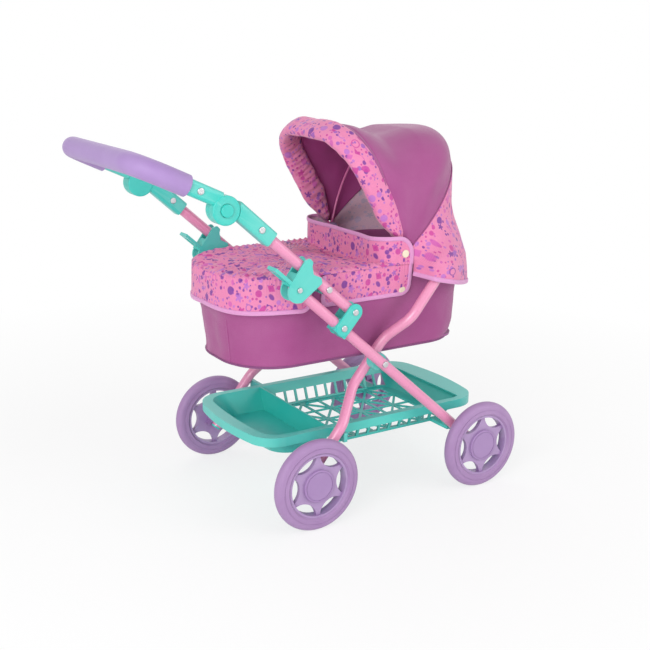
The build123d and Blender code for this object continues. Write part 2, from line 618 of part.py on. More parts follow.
def wall_slots():
    """Upright openings between the wall bars, through both long sides."""
    start = BIN_WALL_AT + BAR_W
    end = LIP_AT - BASKET_END_TAPER / 2
    count = int((end - start) / BAR_PITCH)
    pitch = (end - start) / count
    low = BASKET_FLOOR + 2 * BASKET_WALL
    high = BASKET_TOP - FLANGE_H
    slots = []
    for i in range(count):
        x = start + pitch * (i + 0.5)
        slots.append(Pos(x, 0, (low + high) / 2) * Box(pitch - BAR_W, 4 * BASKET_HALF_W, high - low))
    return slots


def basket():
    """Moulded tray: closed bin at the handle end, open lattice, flanged rim and bowed lips."""
    body = tray(0, BASKET_TOP, BASKET_FLOOR) - tray(BASKET_WALL, BASKET_TOP + 1, BASKET_FLOOR + BASKET_WALL)
    rear = BASKET_REAR + BASKET_BOW
    front = BASKET_FRONT - BASKET_BOW
    rim = bowed_outline(rear, front, BASKET_HALF_W, BASKET_CORNER_R + FLANGE_W, BASKET_BOW)
    brim = FLANGE_W + BASKET_WALL
    mouth_r = BASKET_CORNER_R - BASKET_WALL
    mouth = bowed_outline(rear + brim, front - brim, BASKET_HALF_W - brim, mouth_r, BASKET_BOW / 2)
    skirt = offset(rim, amount=-BASKET_WALL)
    flange = extrude(Plane.XY.offset(BASKET_TOP - BASKET_WALL) * (rim - mouth), amount=BASKET_WALL)
    flange += extrude(Plane.XY.offset(BASKET_TOP - FLANGE_H) * (rim - skirt), amount=FLANGE_H)
    body = body + flange
    body -= floor_lattice()
    inside = tray(BASKET_WALL / 2, BASKET_TOP, BASKET_FLOOR)
    wall_x = Pos(BIN_WALL_AT, 0, (BASKET_TOP + BASKET_FLOOR) / 2)
    partition = wall_x * Box(BASKET_WALL, 2 * BASKET_HALF_W, BASKET_TOP - BASKET_FLOOR)
    lip_x = Pos(LIP_AT + BASKET_HALF_W, 0, BASKET_TOP - BASKET_WALL / 2)
    lip = lip_x * Box(2 * BASKET_HALF_W, 2 * BASKET_HALF_W, BASKET_WALL)
    body -= wall_slots()
    lugs = basket_lug() + left_of(basket_lug())
    return body + (partition & inside) + (lip & inside) + lugs + basket_hooks()


def basket_lug():
    """Lug that reaches from the tray wall to the inside of a front leg."""
    outer = SIDE_Y - TUBE_R
    inner = BASKET_HALF_W - FLANGE_W - BASKET_TAPER - BAR_W
    lug = plate(on_tube(LUG, FRONT_LEG_ANGLE, Rectangle(LUG_H * 1.6, LUG_H)), outer - LUG_T, outer)
    level = BASKET_FLOOR + LUG_T / 2
    arm = Pos(LUG[0], -(inner + outer) / 2, level) * Box(LUG_H, outer - inner, LUG_T)
    lug += arm
    leg = round_bar(FRONT_AXLE, CROSS, TUBE_D + 2 * SEAT, SIDE_Y)
    head_room = rod(LUG, SCREW_HEAD_D + 2 * AIR, outer - LUG_T - SCREW_HEAD_T - AIR, outer - LUG_T)
    return lug - leg - head_room - rod(LUG, LUG_HOLE_D + 2 * SEAT, 0, TRACK)


def basket_hooks():
    """Hooks under the flange that rest against the front of the rear legs."""
    level = BASKET_TOP - FLANGE_H / 2
    reach = (level - REAR_AXLE[1]) / sin(radians(REAR_LEG_ANGLE))
    leg_x = along(REAR_AXLE, REAR_DIR, reach)[0]
    slope = radians(REAR_LEG_ANGLE)
    shift = TUBE_R / sin(slope) + FLANGE_H / 2 / tan(slope) + AIR
    inner = BASKET_HALF_W - BASKET_WALL / 2
    outer = SIDE_Y + TUBE_R / 2
    arm = Pos(leg_x + shift + HOOK_T / 2, -(inner + outer) / 2, level) * Box(HOOK_T, outer - inner, FLANGE_H)
    return arm + left_of(arm)


def basket_screw():
    """Screw that fastens a basket lug to the front leg."""
    outer = SIDE_Y + TUBE_R
    inner = SIDE_Y - TUBE_R - LUG_T
    return rod(LUG, LUG_HOLE_D, inner, outer) + rod(LUG, SCREW_HEAD_D, inner - SCREW_HEAD_T, inner)


def cot_outline(inset, level):
    """Plan outline of the cot at a height, drawn in by a distance."""
    down = (COT_TOP - level) / COT_HEIGHT
    rear = COT_REAR + COT_REAR_TAPER * down + inset
    front = COT_FRONT - COT_FRONT_TAPER * down - inset
    half_w = COT_HALF_W - COT_SIDE_TAPER * down - inset
    shrink = COT_SIDE_TAPER * down + inset
    face = Polygon((rear, -half_w), (front, -half_w), (front, half_w), (rear, half_w), align=None)
    by_x = face.vertices().sort_by(Axis.X)
    face = fillet(by_x[:2], COT_REAR_R - shrink)
    by_x = face.vertices().sort_by(Axis.X)
    return fillet(by_x[-2:], COT_FRONT_R - shrink)


def cot_block(inset, bottom, top):
    """Solid block with the leaning walls of the cot."""
    sections = [Plane.XY.offset(level) * cot_outline(inset, level) for level in (bottom, top)]
    return loft(sections, ruled=True)


def cot_shell():
    """Cloth tub of the cot with its open top."""
    return cot_block(0, COT_BOTTOM, COT_TOP) - cot_block(COT_CLOTH, COT_BOTTOM + COT_CLOTH, COT_TOP + 1)


def cot_board():
    """Stiff board on the floor of the cot."""
    low = COT_BOTTOM + COT_CLOTH + SEAT
    return cot_block(COT_CLOTH + 1, low, low + BOARD_T)


def rim_inset():
    """How far the axis of the rim wire lies inside the outline of the cot."""
    return COT_CLOTH + RIM_WIRE_D / 2 + AIR


def rim_wire():
    """Wire ring that holds the top of the cot open."""
    level = COT_TOP - RIM_WIRE_DROP
    path = (Plane.XY.offset(level) * cot_outline(rim_inset(), level)).wire()
    return pipe(path, RIM_WIRE_D)


def cot_wall_y(level):
    """Half width of the cot at a height."""
    return COT_HALF_W - COT_SIDE_TAPER * (COT_TOP - level) / COT_HEIGHT


def hanger(place):
    """Round spacer on the side of the cot, beside the tube that carries it."""
    outer = SIDE_Y - TUBE_R - AIR
    return rod(place, HANGER_D, SIDE_Y / 2, outer) - cot_block(-SEAT, COT_BOTTOM, COT_TOP + HANGER_D)


def head_hanger():
    """Spacer with the bore of the cot pivot pin."""
    return hanger(COT_PIVOT) - rod(COT_PIVOT, COT_PIN_D + 2 * RUN, 0, TRACK)


def one_head_rivet(place, y_from, y_to, diameter):
    """Rivet with a domed head on its outer end only."""
    head = rod(place, RIVET_HEAD_D, y_to, y_to + RIVET_HEAD_T)
    head = fillet(head.edges().sort_by(Axis.Y)[0], RIVET_HEAD_T * 0.6)
    return head + rod(place, diameter, y_from, y_to)


def cot_pin():
    """Pin that carries the head end of the cot on the rear leg."""
    return one_head_rivet(COT_PIVOT, cot_wall_y(COT_PIVOT[1] + HANGER_D) + AIR, SIDE_Y + TUBE_R, COT_PIN_D)


def hanger_rivet():
    """Rivet in the upper tube, beside the foot hanger of the cot."""
    return one_head_rivet(COT_RIVET, SIDE_Y - TUBE_R, SIDE_Y + TUBE_R, RIVET_D)


def cover_shell(inset, low):
    """Solid over the cot up to the crown of its cover, drawn in by a distance."""
    top = COT_TOP - inset
    crown_from = Plane.XY.offset(top) * cot_outline(inset, COT_TOP)
    crown_to = Plane.XY.offset(top + COVER_CROWN) * cot_outline(inset + COVER_CROWN_IN, COT_TOP)
    crown = loft([crown_from, crown_to], ruled=True)
    return cot_block(inset, low, COT_TOP) + extrude(crown_from, amount=inset) + crown


def beyond(x):
    """Block that holds everything on the hood side of a place."""
    return Pos(x + TRACK, 0, COT_TOP) * Box(2 * TRACK, 2 * TRACK, 2 * TRACK)


def hanger_slit(place, hem):
    """Slit of a hanging cloth round a hanger of the cot, through both sides."""
    top = place[1] + NOTCH_W / 2
    outline = Pos(place[0], (hem + top) / 2) * Rectangle(NOTCH_W, top - hem)
    return plate(outline, -TRACK, TRACK)


def cot_cover():
    """Cloth cover over the foot of the cot with its skirt, side wings and upright wind flap."""
    hem = COT_TOP - COVER_DROP
    outside = -AIR - COVER_CLOTH
    cover = cover_shell(outside, hem) - cover_shell(-AIR, hem) - beyond(COVER_FRONT)
    cover -= hanger_slit(COT_RIVET, hem)
    skirt = cot_block(outside, hem, COT_TOP) - cot_block(-AIR, hem, COT_TOP)
    ring = cot_outline(outside, COT_TOP) - cot_outline(-AIR, COT_TOP)
    skirt += extrude(Plane.XY.offset(COT_TOP) * ring, amount=FLAP_TOP - COT_TOP)
    wings = (skirt - beyond(WING_FRONT)) & beyond(COVER_FRONT - COVER_CLOTH)
    corner_x = WING_FRONT - FLAP_CORNER_R
    corner_z = FLAP_TOP - FLAP_CORNER_R
    corner = Polygon((WING_FRONT, FLAP_TOP), (corner_x, FLAP_TOP), (WING_FRONT, corner_z), align=None)
    corner -= Pos(corner_x, corner_z) * Circle(FLAP_CORNER_R)
    wings -= plate(corner, -TRACK, TRACK)
    width = 2 * (COT_HALF_W + AIR) + COVER_CLOTH
    flap_low = COT_TOP + COVER_CROWN
    flap = Box(COVER_CLOTH, width, FLAP_TOP - flap_low)
    flap_at = Pos(COVER_FRONT - COVER_CLOTH / 2, 0, (flap_low + FLAP_TOP) / 2)
    return cover + wings + flap_at * flap


def popper(level):
    """Snap fastener on the wing of the cover."""
    outside = -AIR - COVER_CLOTH - SEAT
    wall = cot_wall_y(min(level, COT_TOP)) - outside
    disc = rod((POPPER_X, level), POPPER_D, wall - POPPER_T, wall + POPPER_T)
    disc = fillet(disc.edges().sort_by(Axis.Y)[0], POPPER_T * 0.6)
    straight = extrude(Plane.XY.offset(COT_TOP) * cot_outline(outside, COT_TOP), amount=FLAP_TOP - COT_TOP)
    return disc - cot_block(outside, COT_BOTTOM, COT_TOP) - straight


def hood_envelope(grow, low):
    """Outer form of the hood, grown by a distance: an arch across, a rounded back and a rounded plan."""
    half_w = HOOD_HALF_W + grow
    top = HOOD_TOP + grow
    front = HOOD_FRONT + grow
    rear = -TRACK / 2
    arch = Polygon((-half_w, low), (half_w, low), (half_w, top), (-half_w, top), align=None)
    arch = fillet(arch.vertices().sort_by(Axis.Y)[-2:], HOOD_ARCH_R + grow)
    across = extrude(Plane.YZ.offset(rear) * arch, amount=front - rear)
    side = Polygon((rear, low), (front, low), (front, top), (rear, top), align=None)
    side = fillet(side.vertices().group_by(Axis.Y)[-1].sort_by(Axis.X)[-1], HOOD_BACK_R + grow)
    plan = Polygon((rear, -half_w), (front, -half_w), (front, half_w), (rear, half_w), align=None)
    plan = fillet(plan.vertices().sort_by(Axis.X)[-2:], HOOD_PLAN_R + grow)
    upright = extrude(Plane.XY.offset(low) * plan, amount=top - low)
    return across & plate(side, -TRACK, TRACK) & upright


def hood_dome():
    """Cloth dome between the front roll and the back of the hood."""
    low = HOOD_PIVOT[1]
    shell = hood_envelope(0, low) - hood_envelope(-HOOD_CLOTH, low - 1)
    edge = along(HOOD_PIVOT, RIM_BACK, ROLL_W / 2 + AIR)
    far = 2 * TRACK
    mouth = [along(edge, RIM_DIR, -TRACK), along(edge, RIM_DIR, far)]
    mouth += [along(edge, RIM_DIR, far, RIM_BACK, -far), along(edge, RIM_DIR, -TRACK, RIM_BACK, -far)]
    return shell - plate(Polygon(*mouth, align=None), -TRACK, TRACK)


def drape_section(level, half_w, front, corner):
    """Plan of the drape at a height, open to the handle side."""
    plan = Polygon((-TRACK / 2, -half_w), (front, -half_w), (front, half_w), (-TRACK / 2, half_w), align=None)
    return Plane.XY.offset(level) * fillet(plan.vertices().sort_by(Axis.X)[-2:], corner)


def drape_block(grow):
    """Solid under the drape: the hood above, widening below to clear the ends of the rear legs."""
    sections = [drape_section(DRAPE_FLARE_FROM, HOOD_HALF_W + grow, HOOD_FRONT + grow, HOOD_PLAN_R + grow)]
    for level, back in ((DRAPE_FLARE_TO, DRAPE_BACK[0]), (DRAPE_HEM - 1, DRAPE_BACK[1])):
        front = HOOD_FRONT + back + grow
        sections.append(drape_section(level, DRAPE_HALF_W + grow, front, DRAPE_PLAN_R + grow))
    flare = loft(sections[:2], ruled=True) + loft(sections[1:], ruled=True)
    return flare + hood_envelope(grow, DRAPE_FLARE_FROM)


def hood_drape():
    """Cloth drape that hangs from the back of the hood over the head of the cot and the rear leg ends."""
    shell = drape_block(AIR + DRAPE_CLOTH) - drape_block(AIR)
    slope = radians(DRAPE_EDGE)
    edge_z = HOOD_PIVOT[1] + (DRAPE_EDGE_X - HOOD_PIVOT[0]) * tan(slope)
    far = (HOOD_PIVOT[0] + TRACK * cos(slope), HOOD_PIVOT[1] + TRACK * sin(slope))
    back = HOOD_FRONT + DRAPE_BACK[1] + TUBE_D
    outline = [(DRAPE_EDGE_X, DRAPE_HEM_SIDE), (DRAPE_EDGE_X, edge_z), far, (back, far[1]), (back, DRAPE_HEM)]
    return shell & plate(Polygon(*outline, align=None), -TRACK, TRACK)


def bow_path(direction, start, reach, half_w, corner):
    """Line of a hood bow in its leaning plane."""
    low = along(HOOD_PIVOT, direction, start)
    high = along(HOOD_PIVOT, direction, reach)
    points = [(low[0], -half_w, low[1]), (high[0], -half_w, high[1])]
    points += [(high[0], half_w, high[1]), (low[0], half_w, low[1])]
    return FilletPolyline(*points, radius=corner)


def bow_corner(half_w):
    """Corner radius of a hood bow that lies under the arch of the hood."""
    return HOOD_ARCH_R - (HOOD_HALF_W - half_w)


def hood_bow(direction, reach, half_w):
    """Wire bow with a flat eye at each end."""
    bow = pipe(bow_path(direction, EYE_D / 4, reach, half_w, bow_corner(half_w)), BOW_D)
    eye = rod(HOOD_PIVOT, EYE_D, half_w - EYE_T / 2, half_w + EYE_T / 2)
    bow = bow + eye + left_of(eye)
    pin = rod(HOOD_PIVOT, HOOD_PIN_D + 2 * RUN, 0, TRACK)
    return bow - pin - left_of(pin)


def front_bow():
    """Wire bow inside the front roll."""
    return hood_bow(RIM_DIR, RIM_REACH, BOW_HALF_W)


def mid_bow():
    """Wire bow under the middle of the dome."""
    return hood_bow(MID_DIR, MID_REACH, MID_BOW_HALF_W)


def front_roll():
    """Padded roll round the mouth of the hood."""
    path = bow_path(RIM_DIR, ROLL_FROM, RIM_REACH, BOW_HALF_W, bow_corner(BOW_HALF_W))
    across = Plane(origin=path @ 0, x_dir=(0, 1, 0), z_dir=path % 0)
    roll = sweep(across * Ellipse(ROLL_T / 2, ROLL_W / 2), path=path)
    return roll - pipe(path, BOW_D + 2 * SEAT)


def hood_ear():
    """Clamp on the rim wire that carries the hood pivot."""
    level = COT_TOP - RIM_WIRE_DROP
    inner = BOW_HALF_W - EYE_T / 2 - AIR - EAR_T
    clamp = Pos(HOOD_PIVOT[0], level) * Rectangle(EAR_D, RIM_WIRE_D + 2 * EAR_T)
    stem = Pos(HOOD_PIVOT[0], (level + HOOD_PIVOT[1]) / 2) * Rectangle(EAR_D, HOOD_PIVOT[1] - level)
    outline = clamp + stem + Pos(*HOOD_PIVOT) * Circle(EAR_D / 2)
    ear = plate(outline, inner, inner + EAR_T)
    ear += plate(clamp, inner, cot_wall_y(level - RIM_WIRE_D / 2 - EAR_T) - COT_CLOTH - AIR)
    return ear - rod(HOOD_PIVOT, HOOD_PIN_D + 2 * SEAT, 0, TRACK) - clamp_bore()


def clamp_bore():
    """Room for the rim wire in a clamp."""
    level = COT_TOP - RIM_WIRE_DROP
    path = (Plane.XY.offset(level) * cot_outline(rim_inset(), level)).wire()
    return pipe(path, RIM_WIRE_D + 2 * SEAT)


def hood_pin():
    """Pivot pin of the hood bows."""
    inner = BOW_HALF_W - EYE_T / 2 - AIR - EAR_T
    outer = MID_BOW_HALF_W + EYE_T / 2 + AIR
    pin = rod(HOOD_PIVOT, HOOD_PIN_D, inner, outer)
    return pin + rod(HOOD_PIVOT, HOOD_PIN_D + 3, outer, outer + 1)


def add_pair(nodes, name, shape):
    """Add a right-hand piece and its mirrored twin as two nodes."""
    nodes[name + "_right"] = shape
    nodes[name + "_left"] = left_of(shape)


def build():
    """All pieces of the pram by name, about the floor point between the axles."""
    nodes = {}
    wheel = wheel_pieces()
    for end, axle in (("front", FRONT_AXLE), ("rear", REAR_AXLE)):
        for piece, shape in wheel.items():
            placed = Pos(axle[0], -TRACK / 2, axle[1]) * Rot(90, 0, 0) * shape
            add_pair(nodes, f"{end}_wheel_{piece}", placed)
        nodes[f"{end}_axle_pins"] = both(axle_pin(axle))
        nodes[f"{end}_axle_nuts"] = both(axle_nut(axle))
    nodes["front_leg_plugs"] = both(end_plug(FRONT_AXLE, LEG_DIR))
    nodes["rear_leg_plugs"] = both(end_plug(REAR_AXLE, REAR_DIR))
    add_pair(nodes, "front_leg", front_leg())
    add_pair(nodes, "rear_leg", rear_leg())
    nodes["cross_bushes"] = both(cross_bush())
    nodes["cross_rivets"] = both(cross_pin())
    add_pair(nodes, "fold_bracket", fold_bracket())
    nodes["bracket_rivets"] = both(bracket_rivet(BRACKET_LOW), bracket_rivet(FOLD_PIVOT))
    add_pair(nodes, "upper_tube", upper_tube())
    reach = SOCKET_W / 2
    nodes["upper_tube_rivets"] = both(hanger_rivet(), tube_rivet(socket_rivet_place(), reach))
    add_pair(nodes, "knuckle_socket", knuckle_socket())
    add_pair(nodes, "handle_arm", handle_arm())
    add_pair(nodes, "knuckle_button", knuckle_button())
    add_pair(nodes, "button_spring", button_spring())
    nodes["arm_rivets"] = both(tube_rivet(arm_rivet_place(), reach))
    nodes["handle_tube"] = handle_tube()
    nodes["handle_grip"] = handle_grip()
    add_pair(nodes, "latch_clip", latch())
    nodes["latch_pins"] = both(latch_pin())
    nodes["basket"] = basket()
    nodes["basket_screws"] = both(basket_screw())
    nodes["cot_tub"] = cot_shell()
    nodes["cot_board"] = cot_board()
    nodes["cot_rim_wire"] = rim_wire()
    nodes["cot_hangers"] = both(hanger(COT_RIVET), head_hanger())
    nodes["cot_pins"] = both(cot_pin())
    nodes["cot_cover"] = cot_cover()
    nodes["cover_poppers"] = both(*(popper(level) for level in POPPER_Z))
    nodes["hood_dome"] = hood_dome()
    nodes["hood_drape"] = hood_drape()
    nodes["hood_roll"] = front_roll()
    nodes["hood_front_bow"] = front_bow()
    nodes["hood_mid_bow"] = mid_bow()
    nodes["hood_ears"] = both(hood_ear())
    nodes["hood_pins"] = both(hood_pin())
    return nodes


os.makedirs("parts", exist_ok=True)
for name, shape in build().items():
    export_step(Pos(-CENTRE_X, 0, 0) * shape, f"parts/{name}.step")
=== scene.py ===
"""Looks of a folding doll pram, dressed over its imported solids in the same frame, in metres."""

import json
import logging
import math
from dataclasses import dataclass
from enum import Enum
from typing import Callable, Sequence

import bpy
import numpy as np
from mathutils import Matrix, Vector, noise

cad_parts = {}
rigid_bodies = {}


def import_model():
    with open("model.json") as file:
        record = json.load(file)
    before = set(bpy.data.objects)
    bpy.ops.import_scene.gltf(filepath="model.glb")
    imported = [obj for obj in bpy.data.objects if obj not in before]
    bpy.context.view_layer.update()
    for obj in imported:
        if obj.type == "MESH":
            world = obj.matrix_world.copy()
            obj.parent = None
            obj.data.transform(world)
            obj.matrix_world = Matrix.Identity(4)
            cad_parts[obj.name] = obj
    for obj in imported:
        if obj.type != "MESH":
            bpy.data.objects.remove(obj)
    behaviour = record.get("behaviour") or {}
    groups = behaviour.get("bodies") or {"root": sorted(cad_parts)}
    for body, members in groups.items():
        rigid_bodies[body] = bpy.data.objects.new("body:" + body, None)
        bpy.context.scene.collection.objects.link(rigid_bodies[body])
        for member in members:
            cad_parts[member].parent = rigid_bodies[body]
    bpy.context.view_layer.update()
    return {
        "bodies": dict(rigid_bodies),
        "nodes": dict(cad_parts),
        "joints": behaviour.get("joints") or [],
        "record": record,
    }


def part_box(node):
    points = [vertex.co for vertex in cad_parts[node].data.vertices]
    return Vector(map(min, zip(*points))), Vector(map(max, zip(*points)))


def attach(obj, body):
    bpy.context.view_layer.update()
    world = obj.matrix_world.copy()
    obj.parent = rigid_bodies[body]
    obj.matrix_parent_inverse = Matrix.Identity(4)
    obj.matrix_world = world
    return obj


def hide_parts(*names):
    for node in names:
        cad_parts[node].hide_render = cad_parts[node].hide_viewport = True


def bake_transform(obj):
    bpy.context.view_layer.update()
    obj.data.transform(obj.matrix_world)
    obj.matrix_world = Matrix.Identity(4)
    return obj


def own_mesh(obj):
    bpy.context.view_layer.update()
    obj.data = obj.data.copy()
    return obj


LOG = logging.getLogger("pram")
MM = 0.001
Colour = tuple[float, float, float]
BLACK: Colour = (0.0, 0.0, 0.0)
WHITE: Colour = (1.0, 1.0, 1.0)


class Body(str, Enum):
    """Rigid bodies that dressed pieces ride on."""

    COT = "cot"
    HOOD = "hood_front"
    BOW = "hood_middle"
    UPPER = "upper_frame"


class Slot(str, Enum):
    """Material slots of the record."""

    PURPLE = "purple_cloth"
    PRINT = "pink_print_cloth"
    STEEL = "steel"
    WIRE = "magenta_wire"


def srgb(red: int, green: int, blue: int) -> Colour:
    """Linear colour of an sRGB triple.

    Args:
        red: Red, 0 to 255.
        green: Green, 0 to 255.
        blue: Blue, 0 to 255.

    Returns:
        The linear colour.
    """
    parts = []
    for value in (red / 255, green / 255, blue / 255):
        parts.append(value / 12.92 if value <= 0.04045 else ((value + 0.055) / 1.055) ** 2.4)
    return (parts[0], parts[1], parts[2])


def mixed(a: Colour, b: Colour, share: float) -> Colour:
    """Colour between two colours, by the share of the second."""
    return tuple(x + (y - x) * share for x, y in zip(a, b))


class Graph:
    """One node material and short ways to add nodes to it."""

    def __init__(self, name: str) -> None:
        self.material = bpy.data.materials.new(name)
        self.material.use_nodes = True
        self.tree = self.material.node_tree
        self.shader = self.tree.nodes["Principled BSDF"]

    def node(self, kind: str, inputs: dict | None = None, **settings) -> bpy.types.Node:
        """Add a node.

        Args:
            kind: Node type without its ShaderNode prefix.
            inputs: Input socket name or number to a value or a socket.
            settings: Properties of the node.

        Returns:
            The node.
        """
        made = self.tree.nodes.new("ShaderNode" + kind)
        for key, value in settings.items():
            setattr(made, key, value)
        for key, value in (inputs or {}).items():
            self.feed(made.inputs[key], value)
        return made

    def feed(self, socket: bpy.types.NodeSocket, value) -> None:
        """Link or set an input.

        Args:
            socket: The input.
            value: A socket, a number or a colour.
        """
        if isinstance(value, bpy.types.NodeSocket):
            self.tree.links.new(value, socket)
        elif isinstance(value, tuple) and len(value) == 3 and socket.type == "RGBA":
            socket.default_value = (*value, 1.0)
        else:
            socket.default_value = value

    def math(self, operation: str, *values, clamp: bool = False) -> bpy.types.NodeSocket:
        """Output of a math node on numbers or sockets."""
        return self.node("Math", dict(enumerate(values)), operation=operation, use_clamp=clamp).outputs[0]

    def vector(self, operation: str, *values) -> bpy.types.NodeSocket:
        """Vector output of a vector math node on vectors or sockets."""
        return self.node("VectorMath", dict(enumerate(values)), operation=operation).outputs[0]

    def mix(self, share, a, b) -> bpy.types.NodeSocket:
        """Mix of two colours.

        Args:
            share: How much of the second.
            a: First colour.
            b: Second colour.

        Returns:
            The colour socket.
        """
        made = self.node("Mix", data_type="RGBA")
        self.feed(made.inputs[0], share)
        self.feed(made.inputs[6], a)
        self.feed(made.inputs[7], b)
        return made.outputs[2]

    def noise(self, where, scale: float, detail: float) -> bpy.types.NodeSocket:
        """Noise value at coordinates, with scale in waves per metre."""
        return self.node("TexNoise", {"Vector": where, "Scale": scale, "Detail": detail}).outputs[0]

    def clouded(self, cloud, colour: Colour, dark: float, light: float) -> bpy.types.NodeSocket:
        """Colour that wanders with a noise value, from a little darker to a little lighter."""
        return self.mix(cloud, mixed(colour, BLACK, dark), mixed(colour, WHITE, light))

    def inked(self, value, inks: Sequence[Colour]) -> bpy.types.NodeSocket:
        """One of several inks, picked by a value.

        Args:
            value: The value socket, 0 to 1.
            inks: The colours.

        Returns:
            The colour socket.
        """
        made = self.node("ValToRGB", {0: value})
        made.color_ramp.interpolation = "CONSTANT"
        elements = made.color_ramp.elements
        while len(elements) < len(inks):
            elements.new(0.5)
        for place, (element, ink) in enumerate(zip(elements, inks)):
            element.position = place / len(inks)
            element.color = (*ink, 1.0)
        return made.outputs[0]

    def bump(self, height, distance: float, strength: float) -> None:
        """Bump the surface by a height socket times a distance in metres."""
        made = self.node("Bump", {"Height": height, "Distance": distance, "Strength": strength})
        self.tree.links.new(made.outputs[0], self.shader.inputs["Normal"])

    def set(self, **values) -> None:
        """Set or link inputs of the shader, named with underscores for spaces."""
        for key, value in values.items():
            self.feed(self.shader.inputs[key.replace("_", " ")], value)


@dataclass(frozen=True)
class Moulded:
    """Moulded plastic with a fine grain and faint flow marks."""

    name: str
    colour: Colour
    roughness: float = 0.36
    grain: float = 900.0
    coat: float = 0.15

    def material(self) -> bpy.types.Material:
        """Make the node material.

        Returns:
            The material.
        """
        g = Graph(self.name)
        where = g.node("TexCoord").outputs["Object"]
        grain = g.noise(where, self.grain, 2.0)
        edge = g.node("NewGeometry").outputs["Pointiness"]
        pale = g.math("MULTIPLY", g.math("SUBTRACT", edge, 0.52), 5.0, clamp=True)
        body = g.clouded(g.noise(where, 18.0, 2.0), self.colour, 0.06, 0.05)
        g.set(Base_Color=g.mix(g.math("MULTIPLY", pale, 0.35), body, mixed(self.colour, WHITE, 0.35)))
        rough = g.math("MULTIPLY_ADD", grain, 0.14, self.roughness - 0.07)
        g.set(Roughness=rough, Coat_Weight=self.coat, Coat_Roughness=0.25, Specular_IOR_Level=0.5)
        g.bump(grain, 0.00005, 0.35)
        return g.material


@dataclass(frozen=True)
class Enamel:
    """Smooth enamel on steel tube, with a soft orange-peel surface."""

    name: str
    colour: Colour

    def material(self) -> bpy.types.Material:
        """Make the node material.

        Returns:
            The material.
        """
        g = Graph(self.name)
        where = g.node("TexCoord").outputs["Object"]
        peel = g.noise(where, 320.0, 1.0)
        tone = g.clouded(g.noise(where, 9.0, 2.0), self.colour, 0.05, 0.06)
        g.set(Base_Color=tone, Roughness=g.math("MULTIPLY_ADD", peel, 0.1, 0.24))
        g.set(Coat_Weight=0.5, Coat_Roughness=0.12)
        g.bump(peel, 0.00008, 0.3)
        return g.material


@dataclass(frozen=True)
class Foam:
    """Closed-cell foam with fine open pores."""

    name: str
    colour: Colour

    def material(self) -> bpy.types.Material:
        """Make the node material.

        Returns:
            The material.
        """
        g = Graph(self.name)
        where = g.node("TexCoord").outputs["Object"]
        cells = g.node("TexVoronoi", {"Vector": where, "Scale": 1100.0}).outputs["Distance"]
        cloud = g.noise(where, 30.0, 3.0)
        tone = g.clouded(cloud, self.colour, 0.07, 0.07)
        pores = g.math("MULTIPLY", g.math("SUBTRACT", 0.3, cells), 1.2, clamp=True)
        g.set(Base_Color=g.mix(pores, tone, mixed(self.colour, BLACK, 0.25)))
        g.set(Roughness=g.math("MULTIPLY_ADD", cloud, 0.12, 0.5), Sheen_Weight=0.15)
        g.bump(cells, 0.00012, 0.4)
        return g.material


@dataclass(frozen=True)
class Plated:
    """Plated steel with faint turning marks."""

    name: str
    colour: Colour = (0.62, 0.62, 0.64)

    def material(self) -> bpy.types.Material:
        """Make the node material.

        Returns:
            The material.
        """
        g = Graph(self.name)
        where = g.node("TexCoord").outputs["Object"]
        marks = g.noise(where, 700.0, 4.0)
        tone = g.clouded(marks, self.colour, 0.2, 0.0)
        g.set(Base_Color=tone, Metallic=1.0, Roughness=g.math("MULTIPLY_ADD", marks, 0.2, 0.2))
        g.bump(marks, 0.00004, 0.3)
        return g.material


def weave(g: Graph, where, pitch: float) -> bpy.types.NodeSocket:
    """Height of a plain weave.

    Args:
        g: The material's graph.
        where: Cloth coordinates in metres.
        pitch: Thread pitch in metres.

    Returns:
        The height socket.
    """
    split = g.node("SeparateXYZ", {0: where})
    turn = math.pi / pitch
    warp = g.math("SINE", g.math("MULTIPLY", split.outputs[0], turn))
    weft = g.math("SINE", g.math("MULTIPLY", split.outputs[1], turn))
    return g.math("MULTIPLY_ADD", g.math("MULTIPLY", warp, weft), 0.5, 0.5)


def cloth_finish(g: Graph, where, tone, pitch: float, sheen: float) -> None:
    """Give a graph the surface of woven cloth.

    Args:
        g: The material's graph.
        where: Cloth coordinates in metres.
        tone: Colour socket.
        pitch: Thread pitch in metres.
        sheen: Sheen weight.
    """
    threads = weave(g, where, pitch)
    slubs = g.noise(where, 420.0, 3.0)
    creases = g.noise(where, 38.0, 3.0)
    shade = g.math("MULTIPLY_ADD", threads, 0.16, g.math("MULTIPLY_ADD", slubs, 0.18, 0.75))
    dark = g.node("Mix", data_type="RGBA", blend_type="MULTIPLY")
    g.feed(dark.inputs[0], 1.0)
    g.feed(dark.inputs[6], tone)
    g.feed(dark.inputs[7], shade)
    g.set(Base_Color=dark.outputs[2], Roughness=g.math("MULTIPLY_ADD", slubs, 0.2, 0.62))
    g.set(Sheen_Weight=sheen, Sheen_Roughness=0.45, Specular_IOR_Level=0.3)
    height = g.math("MULTIPLY_ADD", creases, 3.0, g.math("MULTIPLY", threads, 0.35))
    g.bump(height, 0.0006, 0.45)


@dataclass(frozen=True)
class PlainCloth:
    """Plain woven cloth with faint creases."""

    name: str
    colour: Colour
    pitch: float = 0.0009
    sheen: float = 0.3

    def material(self) -> bpy.types.Material:
        """Make the node material.

        Returns:
            The material.
        """
        g = Graph(self.name)
        where = g.node("UVMap", uv_map="UVMap").outputs[0]
        tone = g.clouded(g.noise(where, 14.0, 3.0), self.colour, 0.1, 0.07)
        cloth_finish(g, where, tone, self.pitch, self.sheen)
        return g.material


